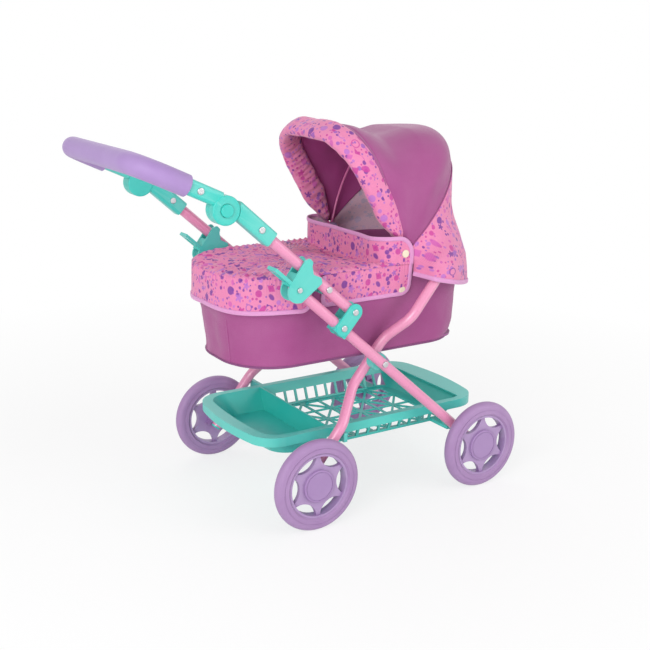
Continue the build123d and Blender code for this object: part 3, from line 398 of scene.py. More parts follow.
@dataclass(frozen=True)
class PrintCloth:
    """Woven cloth printed with scattered discs, rings, ovals, petals and diamonds."""

    name: str
    ground: Colour
    inks: tuple[Colour, ...]
    fade: float = 0.0
    faded: Colour = WHITE
    cell: float = 0.0185
    pitch: float = 0.0009
    ink_cover: float = 0.86

    def motif(self, g: Graph, where, cell: float, kinds: bool) -> tuple:
        """One layer of printed motifs.

        Args:
            g: The material's graph.
            where: Cloth coordinates in metres.
            cell: Spacing of the motifs in metres.
            kinds: Whether the motifs differ in kind, or are all discs.

        Returns:
            Mask socket and random colour sockets.
        """
        place = g.vector("SCALE", where)
        place.node.inputs["Scale"].default_value = 1 / cell
        spots = {"Vector": place, "Scale": 1.0, "Randomness": 0.8}
        cells = g.node("TexVoronoi", spots, voronoi_dimensions="2D")
        chance = g.node("SeparateColor", {0: cells.outputs["Color"]}).outputs
        local = g.node("SeparateXYZ", {0: g.vector("SUBTRACT", place, cells.outputs["Position"])})
        size = g.math("MULTIPLY_ADD", g.math("FRACT", g.math("MULTIPLY", chance[0], 7.3)), 0.17, 0.2)
        turn = g.math("MULTIPLY", chance[0], 2 * math.pi)
        cosine, sine = g.math("COSINE", turn), g.math("SINE", turn)
        x, y = local.outputs[0], local.outputs[1]
        across = g.math("ADD", g.math("MULTIPLY", x, cosine), g.math("MULTIPLY", y, sine))
        upward = g.math("SUBTRACT", g.math("MULTIPLY", y, cosine), g.math("MULTIPLY", x, sine))
        away = g.math("SQRT", g.math("ADD", g.math("MULTIPLY", x, x), g.math("MULTIPLY", y, y)))
        disc = g.math("SUBTRACT", away, size)
        if not kinds:
            return g.math("MULTIPLY", disc, -14.0, clamp=True), chance
        ring = g.math("ABSOLUTE", g.math("SUBTRACT", away, g.math("MULTIPLY", size, 0.85)))
        ring = g.math("SUBTRACT", ring, 0.07)
        tall = g.math("MULTIPLY", upward, 0.6)
        oval = g.math("ADD", g.math("MULTIPLY", across, across), g.math("MULTIPLY", tall, tall))
        oval = g.math("SUBTRACT", g.math("SQRT", oval), g.math("MULTIPLY", size, 0.72))
        angle = g.math("ARCTAN2", upward, across)
        lobes = g.math("MULTIPLY_ADD", g.math("COSINE", g.math("MULTIPLY", angle, 5.0)), 0.3, 0.95)
        petal = g.math("SUBTRACT", away, g.math("MULTIPLY", size, lobes))
        flat = g.math("MULTIPLY", g.math("ABSOLUTE", upward), 0.75)
        diamond = g.math("ADD", g.math("ABSOLUTE", across), flat)
        diamond = g.math("SUBTRACT", diamond, g.math("MULTIPLY", size, 1.05))
        shape = disc
        for limit, other in ((0.3, ring), (0.47, oval), (0.64, petal), (0.84, diamond)):
            past = g.math("GREATER_THAN", chance[1], limit)
            keep = g.math("SUBTRACT", 1.0, past)
            shape = g.math("ADD", g.math("MULTIPLY", other, past), g.math("MULTIPLY", shape, keep))
        return g.math("MULTIPLY", shape, -16.0, clamp=True), chance

    def material(self) -> bpy.types.Material:
        """Make the node material.

        Returns:
            The material.
        """
        g = Graph(self.name)
        where = g.node("UVMap", uv_map="UVMap").outputs[0]
        tone = g.clouded(g.noise(where, 16.0, 2.0), self.ground, 0.06, 0.1)
        for size, kinds, share in ((0.34, False, 0.45), (0.62, False, 0.4), (1.0, True, 0.86)):
            mask, chance = self.motif(g, where, self.cell * size, kinds)
            shown = g.math("MULTIPLY", mask, g.math("LESS_THAN", chance[2], share))
            ink = g.inked(g.math("FRACT", g.math("MULTIPLY", chance[2], 5.7)), self.inks)
            tone = g.mix(g.math("MULTIPLY", shown, self.ink_cover), tone, ink)
        if self.fade:
            tone = g.mix(self.fade, tone, self.faded)
        cloth_finish(g, where, tone, self.pitch, 0.25)
        return g.material


def new_mesh(
    name: str, points: np.ndarray, faces: Sequence[Sequence[int]], uvs: np.ndarray
) -> bpy.types.Object:
    """Smooth mesh object with cloth coordinates.

    Args:
        name: Object name.
        points: Vertices, in metres.
        faces: Vertex numbers of each face.
        uvs: Cloth coordinates of each face corner, in metres.

    Returns:
        The object.
    """
    mesh = bpy.data.meshes.new(name)
    mesh.from_pydata([tuple(map(float, p)) for p in points], [], [tuple(map(int, f)) for f in faces])
    layer = mesh.uv_layers.new(name="UVMap")
    layer.data.foreach_set("uv", np.asarray(uvs, np.float32).ravel())
    mesh.polygons.foreach_set("use_smooth", [True] * len(mesh.polygons))
    mesh.update()
    made = bpy.data.objects.new(name, mesh)
    bpy.context.scene.collection.objects.link(made)
    return made


def grid_mesh(
    name: str, grid: np.ndarray, closed: bool = False, caps: tuple[bool, bool] = (False, False)
) -> bpy.types.Object:
    """Mesh of a grid of points.

    Args:
        name: Object name.
        grid: Points as rows by columns by 3, in metres.
        closed: Whether the last column joins the first.
        caps: Whether the first and last rows are filled.

    Returns:
        The object.
    """
    rows, columns = grid.shape[:2]
    along = np.linalg.norm(np.diff(grid, axis=1, append=grid[:, :1]), axis=2)
    u = np.concatenate([np.zeros((rows, 1)), np.cumsum(along, axis=1)], axis=1)
    u = np.repeat(u[np.argmax(u[:, -1])][None, :], rows, axis=0)
    down = np.linalg.norm(np.diff(grid, axis=0), axis=2).mean(axis=1)
    v = np.concatenate([[0.0], np.cumsum(down)])
    faces: list[tuple[int, ...]] = []
    uvs: list[tuple[float, float]] = []
    for i in range(rows - 1):
        for j in range(columns if closed else columns - 1):
            k = (j + 1) % columns
            this, following = i * columns, (i + 1) * columns
            faces.append((this + j, this + k, following + k, following + j))
            uvs += [(u[i, j], v[i]), (u[i, j + 1], v[i])]
            uvs += [(u[i + 1, j + 1], v[i + 1]), (u[i + 1, j], v[i + 1])]
    for filled, row, order in ((caps[0], 0, -1), (caps[1], rows - 1, 1)):
        if filled:
            ring = list(range(row * columns, (row + 1) * columns))[::order]
            faces.append(tuple(ring))
            flat = grid.reshape(-1, 3)[ring]
            spread = np.argsort(-np.ptp(flat, axis=0))[:2]
            uvs += [tuple(p[spread]) for p in flat]
    return new_mesh(name, grid.reshape(-1, 3), faces, np.array(uvs))


def remap(piece: bpy.types.Object, cloth: Callable[[np.ndarray], np.ndarray]) -> None:
    """Give a piece new cloth coordinates, worked out from the points at its face corners."""
    spots = np.array([piece.data.vertices[corner.vertex_index].co for corner in piece.data.loops])
    piece.data.uv_layers["UVMap"].data.foreach_set("uv", cloth(spots).astype(np.float32).ravel())


def normals_of(
    grid: np.ndarray, probe: tuple[int, int], toward: Sequence[float], closed: bool = False
) -> np.ndarray:
    """Unit normals of a grid of points, all on the side that one of them has to face.

    Args:
        grid: Points as rows by columns by 3.
        probe: Row and column of that one.
        toward: Direction it has to face.
        closed: Whether the columns run round.

    Returns:
        Normals of the same shape.
    """
    if closed:
        across = np.roll(grid, -1, axis=1) - np.roll(grid, 1, axis=1)
    else:
        across = np.gradient(grid, axis=1)
    normal = np.cross(np.gradient(grid, axis=0), across)
    normal = normal / np.maximum(np.linalg.norm(normal, axis=2, keepdims=True), 1e-9)
    return -normal if normal[probe] @ np.asarray(toward) < 0 else normal


@dataclass(frozen=True)
class Ripple:
    """One layer of soft noise on cloth, with the size and height of its waves in millimetres."""

    size: float
    height: float
    seed: float
    stretch: tuple[float, float, float] = (1.0, 1.0, 1.0)

    def at(self, grid: np.ndarray) -> np.ndarray:
        """Heights of the waves.

        Args:
            grid: Points as rows by columns by 3, in metres.

        Returns:
            A height in metres at each point.
        """
        flat = (grid * self.stretch).reshape(-1, 3) / (self.size * MM) + self.seed
        waves = np.array([noise.noise(Vector(p)) for p in flat])
        return self.height * MM * waves.reshape(grid.shape[:2])


def rippled(grid: np.ndarray, layers: Sequence[Ripple]) -> np.ndarray:
    """Heights of several layers of noise together."""
    return sum(layer.at(grid) for layer in layers)


def smooth(value: np.ndarray, low: float, high: float) -> np.ndarray:
    """Soft step from 0 at low to 1 at high."""
    t = np.clip((value - low) / (high - low), 0, 1)
    return t * t * (3 - 2 * t)


def lengths(path: np.ndarray) -> np.ndarray:
    """Distance gone at each point of a path."""
    return np.concatenate([[0.0], np.cumsum(np.linalg.norm(np.diff(path, axis=0), axis=1))])


def arc(centre: tuple[float, float], radius: float, first: float, last: float, count: int) -> np.ndarray:
    """Points of a flat arc between two directions in degrees."""
    turn = np.radians(np.linspace(first, last, count))
    return np.column_stack([centre[0] + radius * np.cos(turn), centre[1] + radius * np.sin(turn)])


def corner_cut(away: np.ndarray, radius: float) -> np.ndarray:
    """Depth that a round corner takes off an edge, at distances from its end."""
    near = np.clip(radius - away, 0, radius)
    return radius - np.sqrt(np.maximum(radius**2 - near**2, 0))


def away_from(path: np.ndarray, x: float) -> np.ndarray:
    """Level directions from an upright line in the middle plane to the points of a path."""
    return (path - (x, 0, 0)) * (1, 1, 0)


def resample(path: np.ndarray, count: int) -> np.ndarray:
    """Points at even distances along a path.

    Args:
        path: Points.
        count: How many points to return.

    Returns:
        The new points.
    """
    gone = lengths(path)
    at = np.linspace(0, gone[-1], count)
    return np.stack([np.interp(at, gone, path[:, i]) for i in range(path.shape[1])], axis=1)


def squared(value: np.ndarray, power: float) -> np.ndarray:
    """Cosines or sines drawn towards a square by a power below 1, with their sign."""
    return np.sign(value) * np.abs(value) ** power


def swept(
    name: str, path: np.ndarray, outward: np.ndarray, half: tuple[float, float], closed: bool = False
) -> bpy.types.Object:
    """Rounded tape or round cord along a path.

    Args:
        name: Object name.
        path: Points of its middle line.
        outward: Direction across the tape's thickness at each point.
        half: Half thickness and half width.
        closed: Whether the path runs round.

    Returns:
        The object.
    """
    if closed:
        run = np.roll(path, -1, axis=0) - np.roll(path, 1, axis=0)
    else:
        run = np.gradient(path, axis=0)
    run = run / np.linalg.norm(run, axis=1, keepdims=True)
    out = outward - run * (outward * run).sum(axis=1, keepdims=True)
    out = out / np.maximum(np.linalg.norm(out, axis=1, keepdims=True), 1e-9)
    side = np.cross(run, out)
    turn = np.linspace(0, 2 * math.pi, 12, endpoint=False)
    power = 0.7 if half[0] < 0.7 * half[1] else 1.0
    thick, wide = squared(np.cos(turn), power) * half[0], squared(np.sin(turn), power) * half[1]
    grid = path[:, None, :] + out[:, None, :] * thick[None, :, None] + side[:, None, :] * wide[None, :, None]
    if closed:
        grid = np.concatenate([grid, grid[:1]], axis=0)
    LOG.info("%s, %.3f m long", name, lengths(grid.mean(axis=1))[-1])
    return grid_mesh(name, grid, closed=True, caps=(not closed, not closed))


def thicken(piece: bpy.types.Object, thickness: float) -> None:
    """Give a sheet its thickness, with its second material on the inner layer.

    Args:
        piece: The sheet.
        thickness: Thickness in metres.
    """
    shell = piece.modifiers.new("thickness", "SOLIDIFY")
    shell.thickness = thickness
    shell.offset = -1.0
    shell.material_offset = 1
    bpy.context.view_layer.update()
    final = bpy.data.meshes.new_from_object(piece.evaluated_get(bpy.context.evaluated_depsgraph_get()))
    piece.modifiers.clear()
    piece.data = final


class Finishes:
    """All materials of the pram, made once."""

    def __init__(self) -> None:
        violet, orchid, magenta = srgb(112, 52, 150), srgb(182, 112, 196), srgb(196, 62, 150)
        inks = (violet, orchid, magenta, srgb(150, 92, 182), srgb(206, 96, 176))
        ground = srgb(228, 124, 172)
        self.pink = Enamel("pink_enamel", srgb(222, 136, 175)).material()
        self.teal = Moulded("teal_moulding", srgb(28, 190, 178)).material()
        self.lilac = Moulded("lilac_moulding", srgb(154, 120, 172), 0.42).material()
        self.foam = Foam("lilac_foam", srgb(155, 118, 168)).material()
        self.grip = Foam("grip_foam", srgb(156, 123, 183)).material()
        self.steel = Plated("plated_steel").material()
        self.purple = PlainCloth("purple_weave", srgb(162, 63, 133)).material()
        self.lining = PlainCloth("magenta_lining", srgb(180, 58, 142)).material()
        self.print = PrintCloth("scatter_print", ground, inks).material()
        washed = srgb(250, 236, 246)
        self.back = PrintCloth("scatter_print_reverse", ground, inks, 0.6, washed).material()
        self.binding = PlainCloth("lilac_binding", srgb(222, 150, 204), 0.0007).material()
        self.piping = PlainCloth("dark_piping", srgb(128, 48, 116), 0.0007).material()
        self.wire = Enamel("magenta_wire", srgb(214, 104, 164)).material()
        self.cream = Moulded("cream_snap", srgb(226, 216, 188), 0.25, 400.0).material()
        self.board = PlainCloth("lining_board", srgb(150, 70, 136)).material()


@dataclass
class Shape:
    """Form given in millimetres about the point midway between the axles.

    shift is what turns that X into the frame's X.
    """

    shift: float

    def place(self, points: np.ndarray) -> np.ndarray:
        """Points in metres in the frame."""
        return (np.asarray(points, float) + (self.shift, 0, 0)) * MM

    def frame_x(self, x: float) -> float:
        """X in metres in the frame."""
        return (x + self.shift) * MM


@dataclass
class CotShape(Shape):
    """Plan and walls of the carrycot, drawn in at the heel under the hood end."""

    top: float = 375.0
    foot_top: float = 366.0
    foot_step: tuple[float, float] = (4.0, 40.0)
    bottom: float = 228.0
    rear: float = -244.6
    front: float = 187.0
    half_w: float = 116.0
    side_taper: float = 18.0
    rear_taper: float = 17.0
    front_taper: float = 14.0
    rear_r: float = 99.0
    front_r: float = 100.0
    front_r_taper: float = 2.2
    heel_h: float = 30.0
    heel_in: float = 16.0

    def outline(self, level: float, grow: float) -> np.ndarray:
        """Closed plan outline, from the rear middle along the right side.

        Args:
            level: Height in millimetres.
            grow: How far outside the cot, in millimetres.

        Returns:
            Points in metres, with the height as third value.
        """
        down = (self.top - min(level, self.top)) / (self.top - self.bottom)
        heel = max(0.0, 1 - (level - self.bottom) / self.heel_h) ** 2
        rear = self.rear + self.rear_taper * down - grow
        front = self.front - self.front_taper * down - self.heel_in * heel + grow
        half = self.half_w - self.side_taper * down + grow
        shrink = self.side_taper * down - grow
        big, small = self.rear_r - shrink, self.front_r - self.front_r_taper * shrink
        parts = (
            np.linspace((rear, 0), (rear, big - half), 6)[:-1],
            arc((rear + big, big - half), big, 180, 270, 19)[:-1],
            np.linspace((rear + big, -half), (front - small, -half), 46)[:-1],
            arc((front - small, small - half), small, 270, 360, 15)[:-1],
            np.linspace((front, small - half), (front, 0), 9),
        )
        right = np.vstack(parts)
        ring = np.vstack([right, right[-2:0:-1] * (1, -1)])
        return self.place(np.column_stack([ring, np.full(len(ring), level)]))

    def settled(self, points: np.ndarray) -> np.ndarray:
        """Points of the walls, with the top edge lowered under the foot cover.

        Args:
            points: Points in metres in the frame.

        Returns:
            The lowered points.
        """
        along = points[..., 0] / MM - self.shift
        top = self.foot_top + (self.top - self.foot_top) * smooth(along, *self.foot_step)
        moved = points.copy()
        low = self.bottom * MM
        moved[..., 2] = low + (points[..., 2] - low) * (top - self.bottom) / (self.top - self.bottom)
        return moved


@dataclass
class CarryCot:
    """Cloth tub with its seams, in millimetres."""

    shape: CotShape
    finishes: Finishes
    cloth: float = 2.6
    floor: float = 231.4
    rim_rise: float = 1.2
    base_in: float = 3.0
    hem: float = 319.0
    slack_h: float = 22.0
    sag: float = 1.8
    folds: tuple[Ripple, ...] = (Ripple(45.0, 1.6, 3.1, (1.0, 1.0, 0.35)), Ripple(18.0, 0.7, 8.4))
    pipe_z: float = 3.5
    pipe_out: float = 0.5
    pipe_r: float = 1.6
    seam_column: int = 8
    seam_tape: tuple[float, float] = (0.9, 1.4)
    seam_axis: float = -120.0
    flat_width: float = 1.25

    def slack(self, z: np.ndarray) -> np.ndarray:
        """How freely the wall hangs at heights in metres.

        Args:
            z: Heights.

        Returns:
            0 under the cover and at the base, 1 between them.
        """
        low = self.shape.bottom
        free = smooth(-z, -self.hem * MM, -(self.hem - self.slack_h) * MM)
        return free * (1 - smooth(-z, -(low + self.slack_h) * MM, -low * MM))

    def tub(self) -> bpy.types.Object:
        """Lining, rim, slack outer wall and base as one cloth.

        Returns:
            The cloth.
        """
        s = self.shape
        inner = [s.outline(level, -self.cloth) for level in np.linspace(self.floor, s.top - 1, 12)]
        rim = s.outline(s.top, -self.cloth / 2) + (0, 0, self.rim_rise * MM)
        outer = np.array([s.outline(level, 0) for level in np.linspace(s.top - 1, s.bottom + 2, 44)])
        drawn = (rippled(outer, self.folds) - self.sag * MM) * self.slack(outer[:, :, 2])
        outer = outer + normals_of(outer, (5, 0), (-1, 0, 0), closed=True) * drawn[:, :, None]
        base = s.outline(s.bottom, -self.base_in)
        rings = s.settled(np.array([*inner, rim, *outer, base]))
        made = grid_mesh("cot_cloth", rings, closed=True, caps=(True, True))
        made.data.materials.append(self.finishes.purple)
        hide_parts("cot_tub", "cot_rim_wire")
        return made

    def piping(self) -> bpy.types.Object:
        """Dark cord round the base.

        Returns:
            The cord.
        """
        seam = self.shape.outline(self.shape.bottom + self.pipe_z, self.pipe_out)
        out = seam - seam.mean(axis=0)
        path, outward = (resample(np.concatenate([v, v[:1]]), 260)[:-1] for v in (seam, out))
        made = swept("cot_seam", path, outward, (self.pipe_r * MM, self.pipe_r * MM), closed=True)
        made.data.materials.append(self.finishes.piping)
        return made

    def side_seam(self, side: str, column: int) -> bpy.types.Object:
        """Upright seam at the foot end.

        Args:
            side: Right or left.
            column: Which point of the outline it runs along.

        Returns:
            The seam.
        """
        s = self.shape
        levels = np.linspace(s.bottom + 3, self.hem + 3, 40)
        line = np.array([s.outline(level, 0.1)[column] for level in levels])
        away = away_from(line, s.frame_x(self.seam_axis))
        away /= np.linalg.norm(away, axis=1, keepdims=True)
        line = line - away * (self.sag * MM * self.slack(line[:, 2]))[:, None]
        made = swept(f"cot_side_seam_{side}", line, away, tuple(v * MM for v in self.seam_tape))
        made.data.materials.append(self.finishes.purple)
        return made

    def build(self) -> None:
        """Make the tub, its bottom piping and its upright seams."""
        tub, cords = self.tub(), [self.piping()]
        for side, column in (("right", self.seam_column), ("left", -self.seam_column)):
            cords.append(self.side_seam(side, column))
        for piece in (tub, *cords):
            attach(piece, Body.COT.value)
        LOG.info("%s, %d vertices", tub.name, len(tub.data.vertices))


@dataclass
class FootCover:
    """Printed cover over the foot of the cot: gathered top, skirt, wings and a wind flap at the hood's mouth.

    Sizes are in millimetres, the widths of the flat cloth in metres.
    """

    shape: CotShape
    finishes: Finishes
    rim: float = 368.6
    seam: float = 367.0
    hem: float = 319.0
    lift: float = 2.5
    cloth: float = 1.3
    middle: float = -60.0
    panel_x: float = 21.0
    panel_middle: float = -105.0
    crown: float = 3.4
    edge_rise: float = 3.0
    hollow: float = 6.0
    hollow_x: tuple[float, float] = (-70.0, -14.0)
    gathers: tuple[int, int] = (64, 113)
    gather_h: float = 1.45
    gather_reach: float = 60.0
    soft: tuple[Ripple, ...] = (
        Ripple(50.0, 2.2, 2.2),
        Ripple(20.0, 1.5, 6.0),
        Ripple(11.0, 0.9, 4.0, (0.5, 1.6, 1.0)),
    )
    slit: tuple[float, float] = (-137.0, -111.0)
    skirt_corner: float = 14.0
    skirt_flare: float = 4.0
    skirt_axis: float = -100.0
    wing_x: float = 43.0
    wing_lean: float = 18.9
    wing_corners: tuple[float, float] = (14.0, 10.0)
    flap_x: float = -12.0
    flap_r: float = 34.0
    flap_top: float = 407.0
    flap_corner: float = 24.0
    flap_swing: float = 2.2
    flap_axis: float = 60.0
    wave: tuple[float, float] = (30.0, 1.3)
    nip: float = 0.9
    nip_reach: float = 5.0
    pucker: float = 0.75
    pucker_reach: float = 9.0
    tape: tuple[float, float] = (1.6, 3.4)
    flat_widths: tuple[float, ...] = (0.25, 0.46, 0.14, 0.14, 0.3)

    def __post_init__(self) -> None:
        """Work out the plan of the cover's edge."""
        ring = self.shape.outline(self.shape.top, self.lift)
        self.ring = ring[:, :2] / MM - (self.shape.shift, 0)
        self.half = self.shape.half_w + self.lift

    def right_side(self, limit: float) -> np.ndarray:
        """Plan points from the middle of the foot end along the right side.

        Args:
            limit: X where they end.

        Returns:
            Plan points in millimetres.
        """
        right = self.ring[: len(self.ring) // 2]
        right = right[right[:, 0] < limit]
        return np.vstack([right, [limit, right[-1, 1]]])

    def flap_path(self, count: int) -> np.ndarray:
        """Plan points of the flap, from the right wing's front edge across the cot to the left one.

        Args:
            count: Number of points.

        Returns:
            Plan points in millimetres.
        """
        r = self.flap_r
        bend = arc((self.flap_x + r, r - self.half), r, 270, 180, 25)
        side = np.vstack([[self.wing_x, -self.half], bend])
        return resample(np.vstack([side, (side * (1, -1))[::-1]]), count)

    def hang(
        self, plan: np.ndarray, tops: np.ndarray, lows: np.ndarray, rows: int, lean: float, seed: float
    ) -> np.ndarray:
        """Grid of a hanging band, puckered along the seam.

        Args:
            plan: Plan points in millimetres at the seam.
            tops: Upper height at each point.
            lows: Lower height at each point.
            rows: Number of rows.
            lean: How far it moves inward over the depth of the cot.
            seed: Which noise.

        Returns:
            Points in metres.
        """
        s = self.shape
        share = np.linspace(0, 1, rows)[:, None]
        z = tops[None, :] * (1 - share) + lows[None, :] * share
        run = np.gradient(plan, axis=0)
        away = np.column_stack([run[:, 1], -run[:, 0]])
        away /= np.linalg.norm(away, axis=1, keepdims=True)
        away *= np.sign((away * (plan - (self.middle, 0.0))).sum(axis=1, keepdims=True))
        inward = np.clip((s.top - z) / (s.top - s.bottom), 0, 1) * lean
        grid = np.dstack([plan[None] - away[None] * inward[:, :, None], z])
        gone, off = lengths(plan)[None, :], np.abs(z - self.seam)
        loose = Ripple(*self.wave, seed, (1.0, 1.0, 0.3)).at(grid * MM) / MM
        wave = np.abs(loose) * smooth(share, 0.1, 0.7)
        nip = self.nip * np.exp(-off / self.nip_reach)
        pucker = self.pucker * np.sin(gone * 1.15 + 2.2 * np.sin(gone * 0.19 + seed))
        pucker = pucker * np.exp(-off / self.pucker_reach)
        grid[:, :, :2] += away[None] * (wave - nip + pucker)[:, :, None]
        return s.place(grid)

    def edge(self, name: str, path: np.ndarray, outward: np.ndarray) -> bpy.types.Object:
        """Lilac binding along an edge.

        Args:
            name: Object name.
            path: Points of the edge.
            outward: Direction out of the cloth.

        Returns:
            The binding.
        """
        tape = swept(name, path, outward, tuple(v * MM for v in self.tape))
        tape.data.materials.append(self.finishes.binding)
        return tape

    def top_panel(self) -> bpy.types.Object:
        """Gathered top panel, in rings from its seam to its middle.

        Returns:
            The sheet.
        """
        right = self.right_side(self.panel_x)
        end = right[-1]
        back = np.linspace(end, end * (1, -1), 40)
        loop = np.vstack([right, back[1:-1], (right * (1, -1))[::-1]])
        loop = resample(np.vstack([loop, loop[:1]]), 721)[:-1]
        centre = np.array([self.panel_middle, 0.0])
        shares = np.concatenate([np.linspace(0, 0.25, 16), np.linspace(0.28, 0.97, 26)])
        turn = np.linspace(0, 2 * math.pi, len(loop), endpoint=False)
        many, more = self.gathers
        rows = []
        for share in shares:
            flat = loop + (centre - loop) * share
            inward = share * np.linalg.norm(loop - centre, axis=1)
            rise = self.edge_rise * (1 - np.exp(-inward / 3.0)) + self.crown * (1 - np.exp(-inward / 40.0))
            rise -= self.hollow * smooth(flat[:, 0], *self.hollow_x) * smooth(inward, 10.0, 40.0)
            gather = self.gather_h * np.exp(-inward / self.gather_reach) * smooth(inward, 0.5, 11.0)
            phase = 3.0 * np.sin(3 * turn) + 2.1 * np.sin(7 * turn + 1.0) + inward / 14.0
            wrinkle = np.sin(many * turn + phase) + 0.75 * np.sin(more * turn - 2 * phase)
            rows.append(np.column_stack([flat, self.rim + rise + gather * wrinkle]))
        grid = self.shape.place(np.array(rows))
        grid[:, :, 2] += rippled(grid, self.soft) * smooth(shares, 0.02, 0.2)[:, None]
        panel = grid_mesh("cover_top", grid, closed=True, caps=(False, True))
        remap(panel, lambda spots: spots[:, :2])
        return panel

    def skirt(self) -> tuple[bpy.types.Object, bpy.types.Object]:
        """Skirt round the foot end, from slit to slit, and its binding.

        Returns:
            The sheet and its binding.
        """
        right = self.right_side(self.slit[0])
        plan = resample(np.vstack([right[::-1], (right * (1, -1))[1:]]), 300)
        gone = lengths(plan)
        end = np.minimum(gone, gone[-1] - gone)
        lows = self.hem + corner_cut(end, self.skirt_corner) + 1.2 * np.sin(gone / 23.0)
        tops = np.full(len(plan), self.rim + 0.6)
        grid = self.hang(plan, tops, lows, 24, -self.skirt_flare, 1.3)
        sheet = grid_mesh("cover_skirt", grid)
        path = resample(np.vstack([grid[2:, 0], grid[-1, 1:-1], grid[:1:-1, -1]]), 320)
        out = away_from(path, self.shape.frame_x(self.skirt_axis))
        return sheet, self.edge("cover_skirt_binding", path, out)

    def wing(self, side: int) -> tuple[bpy.types.Object, bpy.types.Object]:
        """Side wing below the seam, in front of the slit, and its binding.

        Args:
            side: 1 for the right side, -1 for the left.

        Returns:
            The sheet and its binding.
        """
        x = np.linspace(self.slit[1], self.wing_x, 130)
        plan = np.column_stack([x, np.full(len(x), -self.half)])
        tops = self.seam + 1.6 * (1 - smooth(x, 0.0, 22.0))
        lows = np.full(len(x), self.hem + 2.0)
        for edge_x, radius in zip((self.wing_x, self.slit[1]), self.wing_corners):
            lows = lows + corner_cut(np.abs(x - edge_x), radius)
        grid = self.hang(plan, tops, lows, 26, self.wing_lean, 5.7) * (1, side, 1)
        name = "right" if side > 0 else "left"
        sheet = grid_mesh(f"cover_wing_{name}", grid[:, ::-side])
        path = resample(np.vstack([grid[:-1, -1], grid[-1, ::-1], grid[-2:1:-1, 0]]), 260)
        out = np.tile((0.0, -side, 0.0), (len(path), 1))
        return sheet, self.edge(f"cover_wing_binding_{name}", path, out)

    def flap(self) -> tuple[bpy.types.Object, bpy.types.Object]:
        """Wind flap round the mouth of the hood and its binding.

        Returns:
            The sheet and its binding.
        """
        plan = self.flap_path(420)
        gone = lengths(plan)
        end = np.minimum(gone, gone[-1] - gone)
        across = smooth(end, 40.0, 90.0)
        tops = self.flap_top + 0.9 * np.sin(gone / 19.0) - corner_cut(end, self.flap_corner)
        grid = self.hang(plan, tops, self.seam - 5.0 * across, 26, 0.0, 9.5)
        up = np.linspace(1, 0, 26)[:, None]
        swing = self.flap_swing * MM * across * (0.2 + 0.8 * up)
        grid[:, :, 0] += swing * np.sin(gone / 15.0 + 1.2 * up)
        sheet = grid_mesh("cover_flap", grid)
        path = resample(np.vstack([grid[::-1, 0], grid[0, 1:-1], grid[:, -1]]), 460)
        out = away_from(path, self.shape.frame_x(self.flap_axis))
        return sheet, self.edge("cover_flap_binding", path, out)

    def build(self) -> None:
        """Make all sheets and bindings of the cover."""
        top = self.top_panel()
        made = [(top, None), self.skirt(), self.wing(1), self.wing(-1), self.flap()]
        for (sheet, tape), width in zip(made, self.flat_widths):
            sheet.data.materials.append(self.finishes.print)
            sheet.data.materials.append(self.finishes.back)
            thicken(sheet, self.cloth * MM)
            if sheet is top:
                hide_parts("cot_cover")
            extra = [tape] if tape else []
            for piece in [sheet, *extra]:
                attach(piece, Body.COT.value)
            LOG.info("%s, %d vertices", sheet.name, len(sheet.data.vertices))


def in_corner(a: np.ndarray, b: np.ndarray, radius: np.ndarray) -> np.ndarray:
    """Whether points lie inside a rounded corner.

    Args:
        a: Distance inside the first side.
        b: Distance inside the second side.
        radius: Corner radius.

    Returns:
        True inside.
    """
    square = (a > 0) & (b > 0)
    near = (a < radius) & (b < radius)
    return square & (~near | (np.hypot(radius - a, radius - b) < radius))


